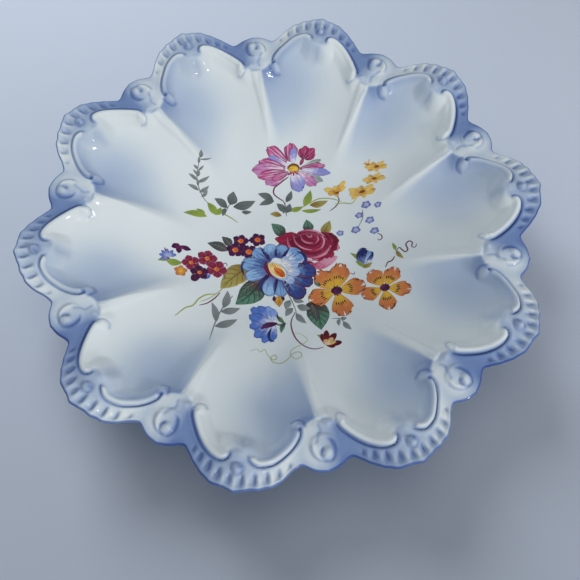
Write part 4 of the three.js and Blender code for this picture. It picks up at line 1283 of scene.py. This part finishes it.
# ---------------------------------------------------------------- small blue flowers, rosebud, tendril
# Forget-me-nots between the daisies and the rose, a navy rosebud in its green calyx, and a curling
# maroon tendril with lime leaves at the far right.

forget = Sheet()
for middle, radius in (
    ((48, 27.5), 3.2), ((54.5, 26), 2.4), ((44, 22), 2.6), ((50, 18), 3), ((33, 12.5), 2.6),
    ((42, 13.5), 3.2), ((52.5, 11), 3),
):
    forget.blossom(
        middle, 0.9 * radius, 5, "small blue", "gold", 1, turn=40 * radius, squash=0.8, eye_size=0.2)
forget.stroke([(54, 9), (56, 7.5), (56.4, 5.5), (55, 4.5), (53.9, 5.4)], 0.6, "stem maroon", 1)
forget.stroke([(46, 25), (46, 20), (43.5, 15)], 0.5, "stem grey", 0)
fire_on("transfer_small_blue_flowers", forget, "print_small_blue_flowers")

rosebud = Sheet()
rosebud.leaf((47.5, -10.5), (38.3, -0.8), 3.2, "lime", 1)
rosebud.leaf((47.5, -10.5), (41, -4), 3.4, "olive leaf", 2)
rosebud.leaf((44, -10), (49.5, -11.5), 2.4, "lime", 1)
rosebud.mark([(46, -9.5), (50.5, -2)], 5, "bell", 2, root=0.6, tip=0.4, blunt=1.6)
rosebud.mark([(45.5, -9), (45.5, 1)], 7.4, "bud blue", 3, root=0.5, tip=0.5, blunt=1.6)
rosebud.mark([(42.6, -1), (45, 0.9), (48, 0)], 1.2, "bud blue", 4, cells=(3, 8))
rosebud.mark([(46.5, -8.5), (48.6, -5), (48.6, -1)], 2.6, "anemone pale", 4, root=0.3, tip=0.2, cells=(4, 8))
rosebud.mark([(47.4, -7.6), (50.2, -5), (51, -2.6)], 1.8, "bud blue", 5, root=0.3, tip=0.2, cells=(4, 8))
rosebud.leaf((45.4, -11), (41.2, -6.6), 2.2, "lime", 6)
rosebud.leaf((45.6, -11), (50.4, -9.4), 2.2, "olive leaf", 6)
rosebud.stroke([(40.5, -13.5), (40, -15), (38, -14)], 0.5, "stem maroon", 1)
fire_on("transfer_blue_rosebud", rosebud, "print_blue_rosebud")

tendril = Sheet()
tendril.leaf((63, -4.5), (61.5, 1.2), 1.9, "lime", 1)
tendril.leaf((63.3, -4.5), (66.5, -10.8), 2.4, "olive leaf", 1)
tendril.stroke([
    (63.5, -4.5), (65, -2.8), (66.2, -4.6), (67.8, -6.6), (69.2, -5), (68.6, -1.6), (70.4, 0.4),
    (72, -1), (71.4, -3.6), (73, -4.6), (74.2, -2.4),
], 0.75, "stem maroon", 1)
tendril.stroke([(62.2, -8.2), (60.5, -10.6), (58.4, -11.2), (57, -14)], 0.75, "stem maroon", 1)
fire_on("transfer_tendril_right", tendril, "print_tendril_right")

# ---------------------------------------------------------------- sprigs and flowers below the bouquet
# A grey sprig, a yellow-green tendril, a blue morning glory, a dark heart-shaped leaf, a red bud on
# a long curved stem and a pale green tendril that closes the spray.

sprig = Sheet()
sprig.stroke([(-29, -29), (-32.5, -35), (-35.5, -42), (-37.5, -50), (-39, -59.5)], 0.75, "stem grey", 0)
for root, tip, width in (
    ((-33.5, -38), (-32, -26), 4.4), ((-36.6, -47.5), (-40, -35), 3.8), ((-34.6, -40.5), (-24.5, -37), 4.6),
    ((-37, -50.5), (-25.5, -44.8), 5),
):
    sprig.leaf(root, tip, width, "grey leaf", 1)
sprig.stroke([(-36, -28), (-39, -32.5), (-42.5, -36), (-46.5, -38)], 0.7, "stem maroon", 1)
fire_on("transfer_grey_sprig", sprig, "print_grey_sprig")

yellow_tendril = Sheet()
yellow_tendril.stroke(
    [(-35, -25), (-38, -29), (-43, -30.5), (-47, -34), (-49.5, -38.5), (-53.5, -41), (-58, -46.5)],
    0.85, "stem lime", 1)
yellow_tendril.stroke([(-38, -29), (-42, -33), (-46, -35.5)], 0.45, "stem lime", 0)
fire_on("transfer_yellow_tendril", yellow_tendril, "print_yellow_tendril")

glory = Sheet()
for tip, width, ink in (
    ((-18.5, -36), 7, "bell"), ((-14, -34.5), 7, "bell"), ((-9, -34.5), 6, "bell white"),
    ((-5.6, -36.5), 4.5, "bell white"), ((-19.5, -42), 8, "bell"), ((-19, -49), 7, "bell"),
    ((-16, -55.5), 7.5, "bell"), ((-11, -59), 7, "bell"), ((-6.5, -58.5), 5, "bell"),
):
    glory.mark(
        [(-5, -46.5), tip], width, ink, 1, belly=0.75, root=0.15, tip=0.6, blunt=1.7, ruffle=0.03,
        cells=(7, 10))
glory.mark([(-3.5, -46), (-9, -47.5), (-12.5, -50)], 3.6, "bell throat", 3, belly=0.5, root=0.3, tip=0.2)
glory.mark([(-5, -58), (-7.4, -57), (-8, -53), (-6.5, -49)], 1.6, "navy curl", 3)
glory.leaf((-3.2, -41), (0.6, -46), 2.8, "lime", 3)
glory.mark([(-4, -40), (-2.5, -43), (1.4, -46.5)], 1.8, "green leaf", 4, leaf=1.0)
glory.leaf((0.6, -45), (-1.4, -52.5), 2.6, "green leaf", 3)
glory.stroke([(1.2, -46), (-2, -47), (-4, -46.6)], 1.2, "green leaf", 4)
fire_on("transfer_morning_glory", glory, "print_morning_glory")

heart = Sheet()
heart.mark(
    [(15, -31.5), (19, -39), (20.5, -50.8)], 12.5, "green leaf", 1, belly=0.42, root=0.45, tip=0.03,
    ruffle=0.012, waves=9, leaf=1.0, cells=(10, 16))
heart.mark([(15.5, -33), (17.5, -39.5), (18.5, -45)], 4, "dark leaf", 2, leaf=1.0)
for root, tip, width in (
    ((31, -44), (34.5, -43.8), 2.4), ((30.5, -44), (30, -48.6), 2.2), ((32.5, -46), (36.6, -51.5), 3),
):
    heart.leaf(root, tip, width, "grey leaf", 1)
heart.stroke([(26.5, -43.5), (31, -44), (33, -47)], 0.5, "stem grey", 0)
fire_on("transfer_dark_leaf", heart, "print_dark_leaf")

red_bud = Sheet()
red_bud.stroke(
    [(6.5, -38), (4.2, -44), (4.5, -50), (7, -57), (11.5, -61.8), (16.5, -63.4), (21.5, -62)],
    0.8, "stem maroon", 0)
red_bud.leaf((22, -57), (18, -54), 2.2, "lime", 1)
for tip, width, ink in (
    ((20.5, -53.5), 3.4, "red bud"), ((23.2, -51.2), 3.4, "red bud"), ((28.2, -53.3), 3.6, "red bud"),
    ((31, -59), 3.4, "red bud"), ((27.5, -61.3), 3.2, "red bud"), ((22.6, -57), 3, "cream"),
    ((26.5, -56), 2.6, "cream"), ((28, -58.5), 2, "cream"),
):
    layer = 2 if ink == "red bud" else 3
    red_bud.mark(
        [(22.8, -60.5), tip], width, ink, layer, belly=0.62, root=0.35, tip=0.3, blunt=1.5, cells=(5, 7))
fire_on("transfer_red_bud", red_bud, "print_red_bud")

green_tendril = Sheet()
green_tendril.stroke([
    (5, -52.5), (9.5, -53.5), (12.8, -57.5), (9, -61), (4.5, -63.5), (3.8, -67), (6.5, -69.8),
    (9.4, -68.4), (8.6, -65.6), (5.4, -66), (2, -69.8), (-1.5, -71.8), (-5.2, -71), (-6.6, -68.6),
    (-4.6, -66.6), (-3.4, -68.6), (-5.6, -69.6), (-8.4, -66.4), (-10, -63.2), (-12.2, -65),
    (-14, -63.2), (-17.5, -64.8),
], 0.6, "stem pale", 0)
fire_on("transfer_green_tendril", green_tendril, "print_green_tendril")

# ---------------------------------------------------------------- floor, light and camera
# A pale table top under soft light: a broad window low in front on the right with a patch of bare sky
# in it, softer sky from behind and from above, and an even cool light from all round. The camera
# stands in front and looks down into the bowl.

FLOOR_REACH = 3.0
TABLE_COLOR = (0.74, 0.79, 0.88)
TABLE_ROUGHNESS = 0.55
EVEN_LIGHT_COLOR = (0.80, 0.88, 1.0)
EVEN_LIGHT_STRENGTH = 0.18

floor_mesh = bpy.data.meshes.new("floor")
corners = [(x * FLOOR_REACH, y * FLOOR_REACH, 0) for x, y in ((-1, -1), (1, -1), (1, 1), (-1, 1))]
floor_mesh.from_pydata(corners, [], [(0, 1, 2, 3)])
floor = piece("floor", floor_mesh)
floor_finish, _, floor_body, _ = start_material("pale_table_top")
floor_body.inputs["Base Color"].default_value = (*TABLE_COLOR, 1)
floor_body.inputs["Roughness"].default_value = TABLE_ROUGHNESS
floor.data.materials.append(floor_finish)

# How far the bowl is turned clockwise in front of the camera.
BOWL_TURN = math.radians(8.69)


def turned(x, y, z):
    """A way or place seen from the camera's side, in the bowl's own frame."""
    c, s = math.cos(BOWL_TURN), math.sin(BOWL_TURN)
    return Vector((x * c - y * s, x * s + y * c, z))


def soft_light(name, way, distance, size, energy, color):
    """A round light that faces the bowl from some way off, in metres and watts."""
    light = bpy.data.lights.new(name, "AREA")
    light.shape, light.size, light.energy, light.color = "DISK", size, energy, color
    lamp = bpy.data.objects.new(name, light)
    bpy.context.scene.collection.objects.link(lamp)
    lamp.location = way.normalized() * distance
    lamp.rotation_euler = way.to_track_quat("Z", "Y").to_euler()
    return lamp


# The broad lights have no mirror image in the glaze: its small bright glints come from the bare
# patch of sky in the window. The table top has lights of its own, behind the bowl and on its right.
window = soft_light("window", turned(0.62, -0.72, 0.45), 1.5, 1.1, 12.0, (1.0, 0.995, 0.985))
glint = soft_light("bare_sky", turned(0.70, -0.55, 0.47), 1.5, 0.10, 3.0, (1.0, 1.0, 1.0))
sky = soft_light("sky_behind", turned(-0.35, 0.30, 0.70), 0.85, 0.5, 2.1, (0.90, 0.96, 1.0))
ceiling = soft_light("ceiling", turned(0, 0.05, 1), 0.9, 0.6, 0.8, (0.97, 0.97, 1.0))
table_light = soft_light("table_light", turned(-0.32, 0.50, 0.60), 0.75, 0.45, 2.7, (0.88, 0.94, 1.0))
side_light = soft_light("side_light", turned(0.50, 0.06, 0.22), 0.42, 0.30, 0.22, (0.92, 0.95, 1.0))
for light, falls_on_table in (
    (window, False), (glint, False), (sky, False), (table_light, True), (side_light, True),
):
    receivers = bpy.data.collections.new("seen_by_" + light.name)
    receivers.objects.link(floor)
    receivers.collection_objects[0].light_linking.link_state = "INCLUDE" if falls_on_table else "EXCLUDE"
    light.light_linking.receiver_collection = receivers
for light in (window, sky, ceiling, table_light, side_light):
    light.visible_glossy = False

world = bpy.data.worlds.new("even_light")
bpy.context.scene.world = world
world.use_nodes = True
background = world.node_tree.nodes["Background"]
background.inputs["Color"].default_value = (*EVEN_LIGHT_COLOR, 1)
background.inputs["Strength"].default_value = EVEN_LIGHT_STRENGTH

# Where the camera stands and how it is turned: elevation, distance, and three small turns.
CAMERA_ELEVATION, CAMERA_DISTANCE = math.radians(60.907), 329.3
CAMERA_YAW, CAMERA_PITCH, CAMERA_ROLL = (math.radians(a) for a in (0.555, -6.402, -0.668))
AIM_HEIGHT = 48.0
SENSOR_WIDTH, LENS = 36, 38.2475


def twisted(first, second, angle):
    """Two square axes turned together from the first towards the second."""
    c, s = math.cos(angle), math.sin(angle)
    return c * first + s * second, c * second - s * first


back = Vector((0, -math.cos(CAMERA_ELEVATION), math.sin(CAMERA_ELEVATION)))
ahead, right = -back, Vector((1, 0, 0))
up = right.cross(ahead)
ahead, right = twisted(ahead, right, CAMERA_YAW)
ahead, up = twisted(ahead, up, CAMERA_PITCH)
up, right = twisted(up, right, CAMERA_ROLL)

camera = bpy.data.objects.new("camera", bpy.data.cameras.new("camera"))
bpy.context.scene.collection.objects.link(camera)
camera.data.sensor_width, camera.data.lens = SENSOR_WIDTH, LENS
camera.data.clip_start, camera.data.clip_end = 0.01, 20
axes = [turned(*axis) for axis in (right, up, -ahead)]
stand = turned(*(back * CAMERA_DISTANCE + Vector((0, 0, AIM_HEIGHT)))) * MM
camera.matrix_world = Matrix.Translation(stand) @ Matrix(axes).transposed().to_4x4()
bpy.context.scene.camera = camera
bpy.context.scene.view_settings.view_transform = "Standard"
